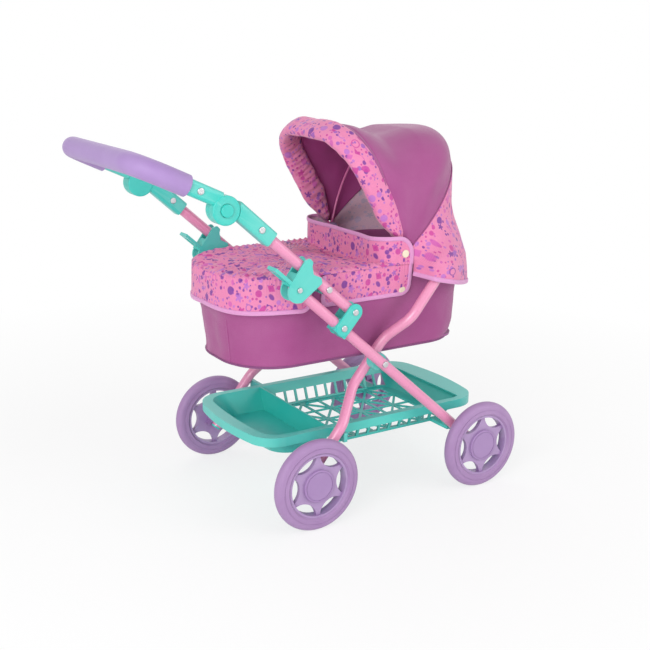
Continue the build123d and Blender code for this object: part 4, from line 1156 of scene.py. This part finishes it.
@dataclass
class HoodShape(Shape):
    """Envelope of the hood and its drape, with straight sides and a half-oval back."""

    pivot: tuple[float, float] = (40.0, 388.0)
    top: float = 563.0
    back: float = 176.0
    half_w: float = 116.2
    arch_r: float = 82.0
    back_r: float = 60.0
    end: float = 116.0
    rim_lean: float = 30.0
    rim_reach: float = 204.0
    bow_half_w: float = 104.0
    seam_lean: float = -46.0
    flare_levels: tuple[float, float, float] = (316.0, 368.0, 446.0)
    flare_half: tuple[float, float, float] = (156.0, 155.4, 116.6)
    flare_back: tuple[float, float, float] = (195.0, 190.0, 176.4)
    flare_end: tuple[float, float, float] = (126.0, 126.0, 116.0)

    def section(self, z: np.ndarray, grow: float) -> tuple[np.ndarray, np.ndarray, np.ndarray]:
        """Half width, rear place and length of the oval end of the grown, flared drape at heights."""
        values = (self.flare_half, self.flare_back, self.flare_end)
        return tuple(np.interp(z, self.flare_levels, value) + grow for value in values)

    def inside(self, at: np.ndarray, grow: float, flared: bool) -> np.ndarray:
        """Whether points lie inside the hood.

        Args:
            at: Points in millimetres.
            grow: How far the hood is grown.
            flared: Whether the flare of the drape counts.

        Returns:
            True inside.
        """
        x, y, z = at.T
        half = self.half_w + grow
        past = np.maximum(x - (self.back - self.end), 0) / (self.end + grow)
        inset = half * (1 - np.hypot(past, y / half))
        radius = self.arch_r + (self.back_r - self.arch_r) * smooth(past, 0.0, 0.6) + grow
        within = in_corner(inset, self.top + grow - z, radius)
        if flared:
            half, back, end = self.section(z, grow)
            past = np.maximum(x - (back - end), 0) / end
            within |= (z < self.flare_levels[2]) & (past**2 + (y / half) ** 2 < 1)
        return within

    def lifted(self, lean: float, across: np.ndarray, reach: np.ndarray) -> np.ndarray:
        """Points in a leaning plane through the pivot.

        Args:
            lean: Degrees from upright, towards the handle.
            across: Distance to the left of each point.
            reach: Distance from the pivot's line of each point.

        Returns:
            Points in millimetres.
        """
        a = math.radians(lean)
        x, z = self.pivot[0] - math.sin(a) * reach, self.pivot[1] + math.cos(a) * reach
        return np.column_stack([x, across, z])

    def arch(self, lean: float, start: float, count: int, grow: float, flared: bool = False) -> np.ndarray:
        """Arch of the hood in a leaning plane, from the right foot over the top to the left foot.

        Args:
            lean: Degrees from upright, towards the handle.
            start: Where the feet begin, from the pivot.
            count: Number of points.
            grow: How far the hood is grown.
            flared: Whether the flare of the drape counts.

        Returns:
            Points in millimetres.
        """
        turn = np.radians(np.linspace(180, 0, 241))
        low, high = np.zeros(len(turn)), np.full(len(turn), 400.0)
        for _ in range(36):
            middle = (low + high) / 2
            at = self.lifted(lean, np.cos(turn) * middle, start + np.sin(turn) * middle)
            held = self.inside(at, grow, flared)
            low, high = np.where(held, middle, low), np.where(held, high, middle)
        return resample(self.lifted(lean, np.cos(turn) * low, start + np.sin(turn) * low), count)

    def bow(
        self, reach: float, half_w: float, radius: float, start: float, lean: float, count: int
    ) -> np.ndarray:
        """Bow in a leaning plane, with straight sides and round corners.

        Args:
            reach: Height of the bow along the plane.
            half_w: Half width.
            radius: Corner radius.
            start: Where the feet begin, from the pivot.
            lean: Degrees from upright, towards the handle.
            count: Number of points.

        Returns:
            Points in millimetres.
        """
        bend = arc((radius - half_w, reach - radius), radius, 180, 90, 25)
        right = np.vstack([[-half_w, start], bend])
        path = resample(np.vstack([right, (right * (-1, 1))[::-1]]), count)
        return self.lifted(lean, path[:, 0], path[:, 1])


@dataclass
class Hood:
    """Middle bow, padded roll, cloth dome and rear drape of the hood, in millimetres and degrees."""

    shape: HoodShape
    finishes: Finishes
    roll_w: float = 19.5
    roll_t: float = 9.6
    roll_from: float = 16.0
    roll_fill: float = 0.7
    roll_cap: float = 0.035
    foot_share: float = 0.35
    foot_span: tuple[float, float] = (14.0, 72.0)
    ruche: float = 0.8
    lumps: tuple[Ripple, ...] = (Ripple(22.0, 1.2, 1.7), Ripple(9.0, 0.6, 5.2))
    cloth: float = 1.2
    count: int = 170
    edge_band: float = 10.0
    band_h: tuple[float, float] = (1.6, 1.3)
    dome_rows: tuple[int, int] = (14, 60)
    dome_from: float = 10.0
    dome_in: float = 0.6
    dome_sink: float = 0.6
    tight_from: float = 4.0
    tight_fit: tuple[float, float, float] = (-2.0, 7.0, -9.0)
    sag: float = 8.0
    sag_span: tuple[float, float] = (90.0, 175.0)
    swell: float = 4.0
    swell_lean: float = -33.0
    swell_wide: float = 8.0
    crease: float = 2.2
    crease_at: float = 0.52
    crease_wide: float = 0.2
    dome_ripple: Ripple = Ripple(60.0, 1.4, 3.9, (1.0, 1.0, 0.6))
    cord_r: float = 1.2
    bend_from: tuple[float, float, float] = (130.0, 0.0, 530.0)
    bend_to: tuple[float, float, float] = (-40.0, 0.0, 545.0)
    hem: tuple[tuple[float, float], tuple[float, float]] = ((46.0, 352.0), (196.0, 316.0))
    tuck: tuple[float, float, float] = (43.0, 62.0, 122.0)
    tuck_z: tuple[float, float] = (368.0, 402.0)
    drape_rows: tuple[int, int] = (34, 24)
    drape_out: float = 1.2
    drape_wave: float = 2.4
    drape_waves: float = 15.0
    drape_ripple: Ripple = Ripple(50.0, 1.8, 7.7)
    drape_axis: float = 90.0
    tape: tuple[float, float] = (1.6, 3.6)
    bow_lean: float = -14.0
    bow_swing: float = 33.2
    bow_room: float = 11.0
    bow_r: float = 2.0
    eye_r: float = 4.4
    dome_width: float = 0.62
    drape_width: float = 0.5

    def middle_bow(self) -> bpy.types.Object:
        """Wire bow under the dome, shaped so that it swings back inside the drape.

        Returns:
            The bow.
        """
        h = self.shape
        back, rest = math.radians(self.bow_lean - self.bow_swing), math.radians(self.bow_lean)
        arch = h.arch(self.bow_lean - self.bow_swing, 3 * self.eye_r, 110, -self.bow_room)
        reach = math.cos(back) * (arch[:, 2] - h.pivot[1]) - math.sin(back) * (arch[:, 0] - h.pivot[0])
        arch = h.lifted(self.bow_lean, arch[:, 1], reach)
        eye_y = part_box("hood_mid_bow")[1][1] / MM - self.bow_r
        turn = np.linspace(-2 * math.pi + 0.5, 0, 21) + math.pi / 2 + rest
        x, z = h.pivot[0] + self.eye_r * np.cos(turn), h.pivot[1] + self.eye_r * np.sin(turn)
        eye = np.column_stack([x, np.full(len(turn), -eye_y), z])
        path = resample(np.concatenate([eye, arch, (eye * (1, -1, 1))[::-1]]), 240)
        across = np.tile((math.cos(rest), 0.02, math.sin(rest)), (len(path), 1))
        bow = swept("hood_middle_bow", h.place(path), across, (self.bow_r * MM, self.bow_r * MM))
        bow.data.materials.append(self.finishes.wire)
        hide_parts("hood_mid_bow")
        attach(bow, Body.BOW.value)
        return bow

    def roll(self) -> bpy.types.Object:
        """Padded roll round the mouth of the hood, thin at its feet.

        Returns:
            The padded piece.
        """
        h = self.shape
        radius = h.arch_r - (h.half_w - h.bow_half_w)
        path = h.bow(h.rim_reach, h.bow_half_w, radius, self.roll_from, h.rim_lean, 240)
        run = np.gradient(path, axis=0)
        run /= np.linalg.norm(run, axis=1, keepdims=True)
        a = math.radians(h.rim_lean)
        thick = np.array([math.cos(a), 0.0, math.sin(a)])
        out = np.cross(thick, run)
        out *= np.sign((out * (path - path.mean(axis=0))).sum(axis=1, keepdims=True))
        turn = np.linspace(0, 2 * math.pi, 40, endpoint=False)
        gone = np.linspace(0, 1, len(path))
        ends = np.clip(np.minimum(gone, 1 - gone) / self.roll_cap, 0, 1)
        ends = np.sqrt(1 - (1 - ends) ** 2) * 0.93 + 0.07
        up = (path[:, 2] - h.pivot[1]) / math.cos(a)
        foot = self.foot_share + (1 - self.foot_share) * smooth(up, *self.foot_span)
        slack = 1 + 0.05 * np.sin(gone * 55)[:, None] * np.cos(turn)[None, :]
        pucker = np.sin(gone * 330 + 3 * np.sin(gone * 31))[:, None] * np.clip(-np.cos(turn), 0, 1)[None, :]
        deep = squared(np.cos(turn), 0.8) * (self.roll_t * slack + self.ruche * pucker) * ends[:, None]
        wide = squared(np.sin(turn), 0.85) * self.roll_w * (ends * foot)[:, None]
        grid = path[:, None, :] + out[:, None, :] * deep[:, :, None] + thick * wide[:, :, None]
        grid = h.place(grid)
        lumps = rippled(grid, self.lumps)
        grid = grid + normals_of(grid, (120, 0), out[120], closed=True) * lumps[:, :, None]
        made = grid_mesh("hood_padded_roll", grid, closed=True, caps=(True, True))
        made.data.materials.append(self.finishes.print)
        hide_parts("hood_roll")
        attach(made, Body.HOOD.value)
        return made

    def dome_row(self, lean: float, first: float) -> np.ndarray:
        """Arch of the dome at a lean, tight at the roll and slack behind it.

        Args:
            lean: Degrees from upright, towards the handle.
            first: Lean of the dome's front edge.

        Returns:
            Points in millimetres.
        """
        h = self.shape
        front = smooth(np.array(lean), self.tight_from, first)
        plain = h.arch(lean, self.dome_from, self.count, -self.dome_in)
        sizes = (a + b for a, b in zip((h.rim_reach, h.bow_half_w, h.arch_r), self.tight_fit))
        tight = h.bow(*sizes, self.dome_from, lean, self.count)
        row = plain * (1 - front) + tight * front
        away = (row - (h.pivot[0], 0.0, h.pivot[1])) * (1, 0, 1)
        far = np.linalg.norm(away, axis=1, keepdims=True)
        between = math.sin(math.pi * np.clip((lean - self.bow_lean) / (first - self.bow_lean), 0, 1))
        swell = self.swell * math.exp(-(((lean - self.swell_lean) / self.swell_wide) ** 2))
        sag = (self.sag * between - swell) * smooth(far, *self.sag_span)
        return row - away / np.maximum(far, 1e-6) * sag

    def dome_grid(self) -> np.ndarray:
        """Points of the dome, from the roll back to the seam of the drape.

        Returns:
            Points in metres.
        """
        h = self.shape
        few, many = self.dome_rows
        band_leans = np.linspace(h.rim_lean - 4.5, h.rim_lean - 9.5, few)
        leans = np.concatenate([band_leans, np.linspace(h.rim_lean - 10.5, h.seam_lean, many)])
        grid = np.array([self.dome_row(lean, leans[0]) for lean in leans])
        fan = np.linspace(0, 1, len(leans))[:, None]
        side = np.abs(np.linspace(-1, 1, self.count))[None, :]
        crease = np.exp(-(((side - self.crease_at) / self.crease_wide) ** 2))
        crease = crease * np.sin(fan * 17 + 3 * side) * smooth(fan, 0.45, 0.8)
        reach = np.linalg.norm(grid[:, :, [0, 2]] - np.array(h.pivot), axis=2)
        grid = h.place(grid)
        depth = self.crease * MM * crease + self.dome_ripple.at(grid)
        depth *= smooth(reach, 25.0, 90.0) * smooth(fan, 0.16, 0.3) * (1 - smooth(fan, 0.92, 1.0))
        behind_roll = np.radians(leans[0] - leans)[:, None] * 150.0
        ridge, groove = (v * MM for v in self.band_h)
        band = ridge * np.exp(-(((behind_roll - 0.5 * self.edge_band) / 3.6) ** 2))
        band -= groove * np.exp(-(((behind_roll - self.edge_band) / 1.3) ** 2))
        depth += band * smooth(reach, 15.0, 40.0) - self.dome_sink * MM
        return grid + normals_of(grid, (30, self.count // 2), (0, 0, 1)) * depth[:, :, None]

    def dome(self) -> bpy.types.Object:
        """Purple dome with its dark lining and the cord of the rear seam.

        Returns:
            The sheet.
        """
        h = self.shape
        grid = self.dome_grid()
        made = grid_mesh("hood_cloth", grid[:, ::-1])
        made.data.materials.append(self.finishes.purple)
        made.data.materials.append(self.finishes.lining)
        thicken(made, self.cloth * MM)
        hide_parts("hood_dome")
        seam, r = grid[-1], self.cord_r * MM
        outward = seam - seam.mean(axis=0)
        outward /= np.linalg.norm(outward, axis=1, keepdims=True)
        cord = swept("hood_drape_seam", seam + outward * r, outward, (r, r))
        cord.data.materials.append(self.finishes.purple)
        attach(cord, Body.COT.value)
        start, end = (tuple(h.place(point)) for point in (self.bend_from, self.bend_to))
        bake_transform(made)
        return made

    def tucked(self, x: np.ndarray, z: np.ndarray) -> np.ndarray:
        """How far the drape is drawn in behind the wing of the cover.

        Args:
            x: X in millimetres.
            z: Z in millimetres.

        Returns:
            1 where it is drawn in, 0 where it hangs free.
        """
        start, low, high = self.tuck
        end = low + (high - low) * smooth(z, *self.tuck_z)
        return 1 - smooth((x - start) / (end - start), 0.0, 1.0)

    def low_plan(self, share: np.ndarray, z: np.ndarray) -> np.ndarray:
        """Points of the drape below the pivot, from its right front edge round the back to the left.

        Args:
            share: Place along the half plan of each point, from -1 at the right to 1 at the left.
            z: Height of each point.

        Returns:
            Points in millimetres.
        """
        h, front = self.shape, self.hem[0][0]
        half, back, end = h.section(z, self.drape_out)
        straight, bend = back - end - front, 0.5 * math.pi * np.sqrt((half**2 + end**2) / 2)
        gone = (1 - np.abs(share)) * (straight + bend)
        turn = np.clip((gone - straight) / bend, 0, 1) * 0.5 * math.pi
        x = np.where(gone < straight, front + gone, back - end + end * np.sin(turn))
        y = half * np.cos(turn) - (half - h.half_w - 1.0) * self.tucked(x, z)
        return np.column_stack([x, y * np.where(share < 0, -1, 1), z])

    def drape_grid(self) -> np.ndarray:
        """Points of the drape, from the seam down to the hem.

        Returns:
            Points in metres.
        """
        h = self.shape
        share = np.linspace(-1, 1, self.count)
        upper, lower = self.drape_rows
        rows = []
        for lean in np.linspace(h.seam_lean, -90.0, upper):
            spread = smooth(np.array(-lean), -h.seam_lean, 88.0)
            row = h.arch(lean, 0.5, self.count, self.drape_out) * (1 - spread)
            row += h.arch(lean, 0.5, self.count, self.drape_out, flared=True) * spread
            spare = np.maximum(np.abs(row[:, 1]) - h.half_w - 1.0, 0)
            row[:, 1] -= np.sign(row[:, 1]) * spare * self.tucked(row[:, 0], row[:, 2])
            rows.append(row)
        top = rows[-1]
        (front_x, front_z), (back_x, back_z) = self.hem
        for drop in np.linspace(0, 1, lower)[1:]:
            x = top[:, 0]
            for _ in range(3):
                low = front_z + (back_z - front_z) * np.clip((x - front_x) / (back_x - front_x), 0, 1)
                row = self.low_plan(share, h.pivot[1] + (low - h.pivot[1]) * drop)
                x = row[:, 0]
            rows.append(row)
        grid = h.place(np.array(rows))
        down = np.concatenate([np.linspace(0, 0.6, upper), np.linspace(0.6, 1, lower)[1:]])[:, None]
        wave = np.sin(share * self.drape_waves + 0.7)[None, :] * self.drape_wave * MM * down**1.5
        wave += self.drape_ripple.at(grid) * down
        wave *= (1 - np.exp(-(1 - np.abs(share)) / 0.06))[None, :]
        return grid + normals_of(grid, (40, self.count // 2), (1, 0, 0)) * wave[:, :, None]

    def unrolled(self, points: np.ndarray) -> np.ndarray:
        """Cloth coordinates of the drape: distance round the plan, and height.

        Args:
            points: Points in metres.

        Returns:
            Two coordinates of each point in metres.
        """
        h = self.shape
        past = points[:, 0] / MM - h.shift - (h.back - h.end)
        wide = np.abs(points[:, 1]) / MM
        turn = np.arctan2(np.maximum(past, 0), np.maximum(wide, 1e-6))
        around = (0.5 * math.pi - turn) * h.end + np.maximum(-past, 0)
        return np.column_stack([np.sign(points[:, 1]) * around * MM, points[:, 2]])

    def drape(self) -> bpy.types.Object:
        """Printed cape from the seam down to its bound hem.

        Returns:
            The sheet.
        """
        grid = self.drape_grid()
        made = grid_mesh("hood_cape", grid[:, ::-1])
        remap(made, self.unrolled)
        made.data.materials.append(self.finishes.print)
        made.data.materials.append(self.finishes.back)
        thicken(made, self.cloth * MM)
        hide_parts("hood_drape")
        path = resample(grid[-1], 260)
        out = away_from(path, self.shape.frame_x(self.drape_axis))
        tape = swept("hood_cape_binding", path, out, tuple(v * MM for v in self.tape))
        tape.data.materials.append(self.finishes.binding)
        for piece in (made, tape):
            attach(piece, Body.COT.value)
        return made

    def build(self) -> None:
        """Make the middle bow and the three cloth parts of the hood."""
        for made in (self.middle_bow(), self.roll(), self.dome(), self.drape()):
            LOG.info("%s, %d vertices", made.name, len(made.data.vertices))


@dataclass
class ButtonSprings:
    """Coil springs of the push buttons, wound at one fixed length, in millimetres."""

    finishes: Finishes
    turns: int = 5
    wire: float = 1.0
    stroke: float = 3.5

    def build(self) -> None:
        """Wind the two springs, each from its fixed inner end out to the button."""
        turn = np.linspace(0, 2 * math.pi * self.turns, 24 * self.turns + 1)
        out = np.column_stack([np.cos(turn), np.zeros_like(turn), np.sin(turn)])
        wire_r = self.wire / 2
        for side in ("right", "left"):
            node = f"button_spring_{side}"
            low, high = (np.array(corner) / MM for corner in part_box(node))
            inner, outer = sorted((low[1], high[1]), key=abs)
            middle, radius = (low + high) / 2, (high[0] - low[0]) / 2 - wire_r
            margin = math.copysign(wire_r, outer)
            path = out * radius + (middle[0], 0, middle[2])
            path[:, 1] = np.linspace(inner + margin, outer - margin, len(turn))
            coil = swept(f"knuckle_coil_{side}", path * MM, out, (wire_r * MM, wire_r * MM))
            coil.data.materials.append(self.finishes.steel)
            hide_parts(node)
            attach(coil, Body.UPPER.value)
            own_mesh(coil)


@dataclass
class Hardware:
    """Finishes of the solids that are shown as they are."""

    frame: dict
    finishes: Finishes

    def finish_of(self, node: str) -> bpy.types.Material:
        """Material of a node.

        Args:
            node: Node name.

        Returns:
            The material.
        """
        f = self.finishes
        rules = (
            (("front_wheel_tyre", "rear_wheel_tyre"), f.foam),
            (("handle_grip",), f.grip),
            (("front_wheel", "rear_wheel", "hood_ears"), f.lilac),
            (("front_leg_plugs", "rear_leg_plugs", "cross_bushes", "fold_bracket"), f.teal),
            (("knuckle", "handle_arm", "latch_clip", "basket_screws", "cot_hangers"), f.teal),
            (("front_leg", "rear_leg", "handle_tube"), f.pink),
            (("upper_tube_rivets",), f.steel),
            (("upper_tube",), f.pink),
            (("basket",), f.teal),
            (("cot_rim_wire", "hood_front_bow", "hood_mid_bow"), f.wire),
            (("cover_poppers",), f.cream),
            (("cot_board",), f.board),
        )
        for names, material in rules:
            if node.startswith(names):
                return material
        return f.steel

    def dress(self) -> None:
        """Give every node its material."""
        for name, node in self.frame["nodes"].items():
            node.data.materials.clear()
            node.data.materials.append(self.finish_of(name))
            LOG.info("%s: %s", name, node.data.materials[0].name)


@dataclass
class Studio:
    """Pale floor, soft light and the photograph's camera.

    The camera's place is in millimetres about the point midway between the axles. The floor and the lights
    are in metres, angles in degrees.
    """

    shift: float
    eye: tuple[float, float, float] = (-903.41, -1380.27, 711.47)
    yaw: float = 32.147
    pitch: float = 15.683
    roll: float = 0.421
    focal: float = 58.9
    sensor: float = 36.0
    ambient: float = 0.6
    aim_z: float = 0.28
    floor_edge: float = 6.0
    floor_glow: float = 0.72
    glow_from: float = 0.5
    glow_rise: float = 0.35

    def build(self) -> None:
        """Make the floor, the lights and the camera."""
        self.floor()
        world = bpy.data.worlds.new("studio")
        world.use_nodes = True
        self.sky(world.node_tree)
        bpy.context.scene.world = world
        self.light("key", (-2.1, -1.6, 1.3), 1.6, 46.0)
        self.light("fill", (1.5, -2.2, 1.1), 1.8, 24.0)
        self.light("back", (0.6, 2.0, 2.2), 1.6, 9.0)
        self.camera()
        bpy.context.scene.view_settings.view_transform = "Standard"
        LOG.info("studio ready")

    def sky(self, tree: bpy.types.NodeTree) -> None:
        """Even light from all round, plain white where it is seen.

        Args:
            tree: Node tree of the world.
        """
        ground = tree.nodes["Background"]
        ground.inputs["Color"].default_value = (1.0, 1.0, 1.0, 1.0)
        paths = tree.nodes.new("ShaderNodeLightPath").outputs
        seen = paths["Is Camera Ray"]
        for other in ("Is Glossy Ray", "Is Transmission Ray"):
            either = tree.nodes.new("ShaderNodeMath")
            either.operation = "MAXIMUM"
            tree.links.new(seen, either.inputs[0])
            tree.links.new(paths[other], either.inputs[1])
            seen = either.outputs[0]
        level = tree.nodes.new("ShaderNodeMapRange")
        level.inputs["To Min"].default_value = self.ambient
        level.inputs["To Max"].default_value = 1.0
        tree.links.new(seen, level.inputs["Value"])
        tree.links.new(level.outputs[0], ground.inputs["Strength"])

    def floor(self) -> None:
        """White floor that stays white to the camera."""
        corners = np.array([(-1, -1, 0), (1, -1, 0), (1, 1, 0), (-1, 1, 0)]) * self.floor_edge
        made = new_mesh("studio_floor", corners, [(0, 1, 2, 3)], corners[:, :2])
        g = Graph("studio_floor")
        where = g.node("TexCoord").outputs["Object"]
        tone = g.mix(g.noise(where, 3.0, 2.0), (0.93, 0.93, 0.93), (0.95, 0.95, 0.95))
        g.set(Base_Color=tone, Roughness=0.9, Specular_IOR_Level=0.1)
        glow = g.node("Emission", {"Color": WHITE, "Strength": 1.0})
        seen = g.node("LightPath").outputs["Is Camera Ray"]
        far = g.node("VectorMath", {0: where}, operation="LENGTH").outputs["Value"]
        past = g.math("SUBTRACT", far, self.glow_from)
        plain = g.math("MULTIPLY_ADD", past, self.glow_rise, self.floor_glow, clamp=True)
        share = g.math("MULTIPLY", seen, g.math("MAXIMUM", plain, self.floor_glow))
        both = g.node("MixShader", {0: share, 1: g.shader.outputs[0], 2: glow.outputs[0]})
        g.tree.links.new(both.outputs[0], g.tree.nodes["Material Output"].inputs["Surface"])
        made.data.materials.append(g.material)

    def light(self, name: str, place: tuple[float, float, float], size: float, power: float) -> None:
        """Soft square light that points at the pram.

        Args:
            name: Light name.
            place: Where it is.
            size: Edge length in metres.
            power: Power in watts.
        """
        lamp = bpy.data.lights.new(name, "AREA")
        lamp.size = size
        lamp.energy = power
        made = bpy.data.objects.new(name, lamp)
        made.location = place
        aim = Vector((0.0, 0.0, self.aim_z)) - Vector(place)
        made.rotation_euler = aim.to_track_quat("-Z", "Y").to_euler()
        bpy.context.scene.collection.objects.link(made)

    def camera(self) -> None:
        """Camera at the photograph's viewpoint."""
        yaw, pitch, roll = (math.radians(v) for v in (self.yaw, self.pitch, self.roll))
        ahead = Vector((math.sin(yaw), math.cos(yaw), 0.0))
        forward = ahead * math.cos(pitch) - Vector((0.0, 0.0, math.sin(pitch)))
        level = Vector((math.cos(yaw), -math.sin(yaw), 0.0))
        above = level.cross(forward)
        right = level * math.cos(roll) + above * math.sin(roll)
        up = above * math.cos(roll) - level * math.sin(roll)
        lens = bpy.data.cameras.new("camera")
        lens.sensor_width = self.sensor
        lens.lens = self.focal
        lens.clip_end = 50.0
        made = bpy.data.objects.new("camera", lens)
        turn = Matrix((right, up, -forward)).transposed()
        place = (Vector(self.eye) + Vector((self.shift, 0.0, 0.0))) * MM
        made.matrix_world = Matrix.Translation(place) @ turn.to_4x4()
        bpy.context.scene.collection.objects.link(made)
        bpy.context.scene.camera = made


def main() -> None:
    """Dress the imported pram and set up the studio."""
    logging.basicConfig(level=logging.INFO, format="%(name)s: %(message)s")
    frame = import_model()
    front_low, front_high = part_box("front_wheel_cap_right")
    rear_low, rear_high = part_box("rear_wheel_cap_right")
    shift = (front_low[0] + front_high[0] + rear_low[0] + rear_high[0]) / 4 / MM
    finishes = Finishes()
    Hardware(frame, finishes).dress()
    cot = CotShape(shift)
    CarryCot(cot, finishes).build()
    FootCover(cot, finishes).build()
    Hood(HoodShape(shift), finishes).build()
    ButtonSprings(finishes).build()
    Studio(shift).build()


if __name__ == "__main__":
    main()
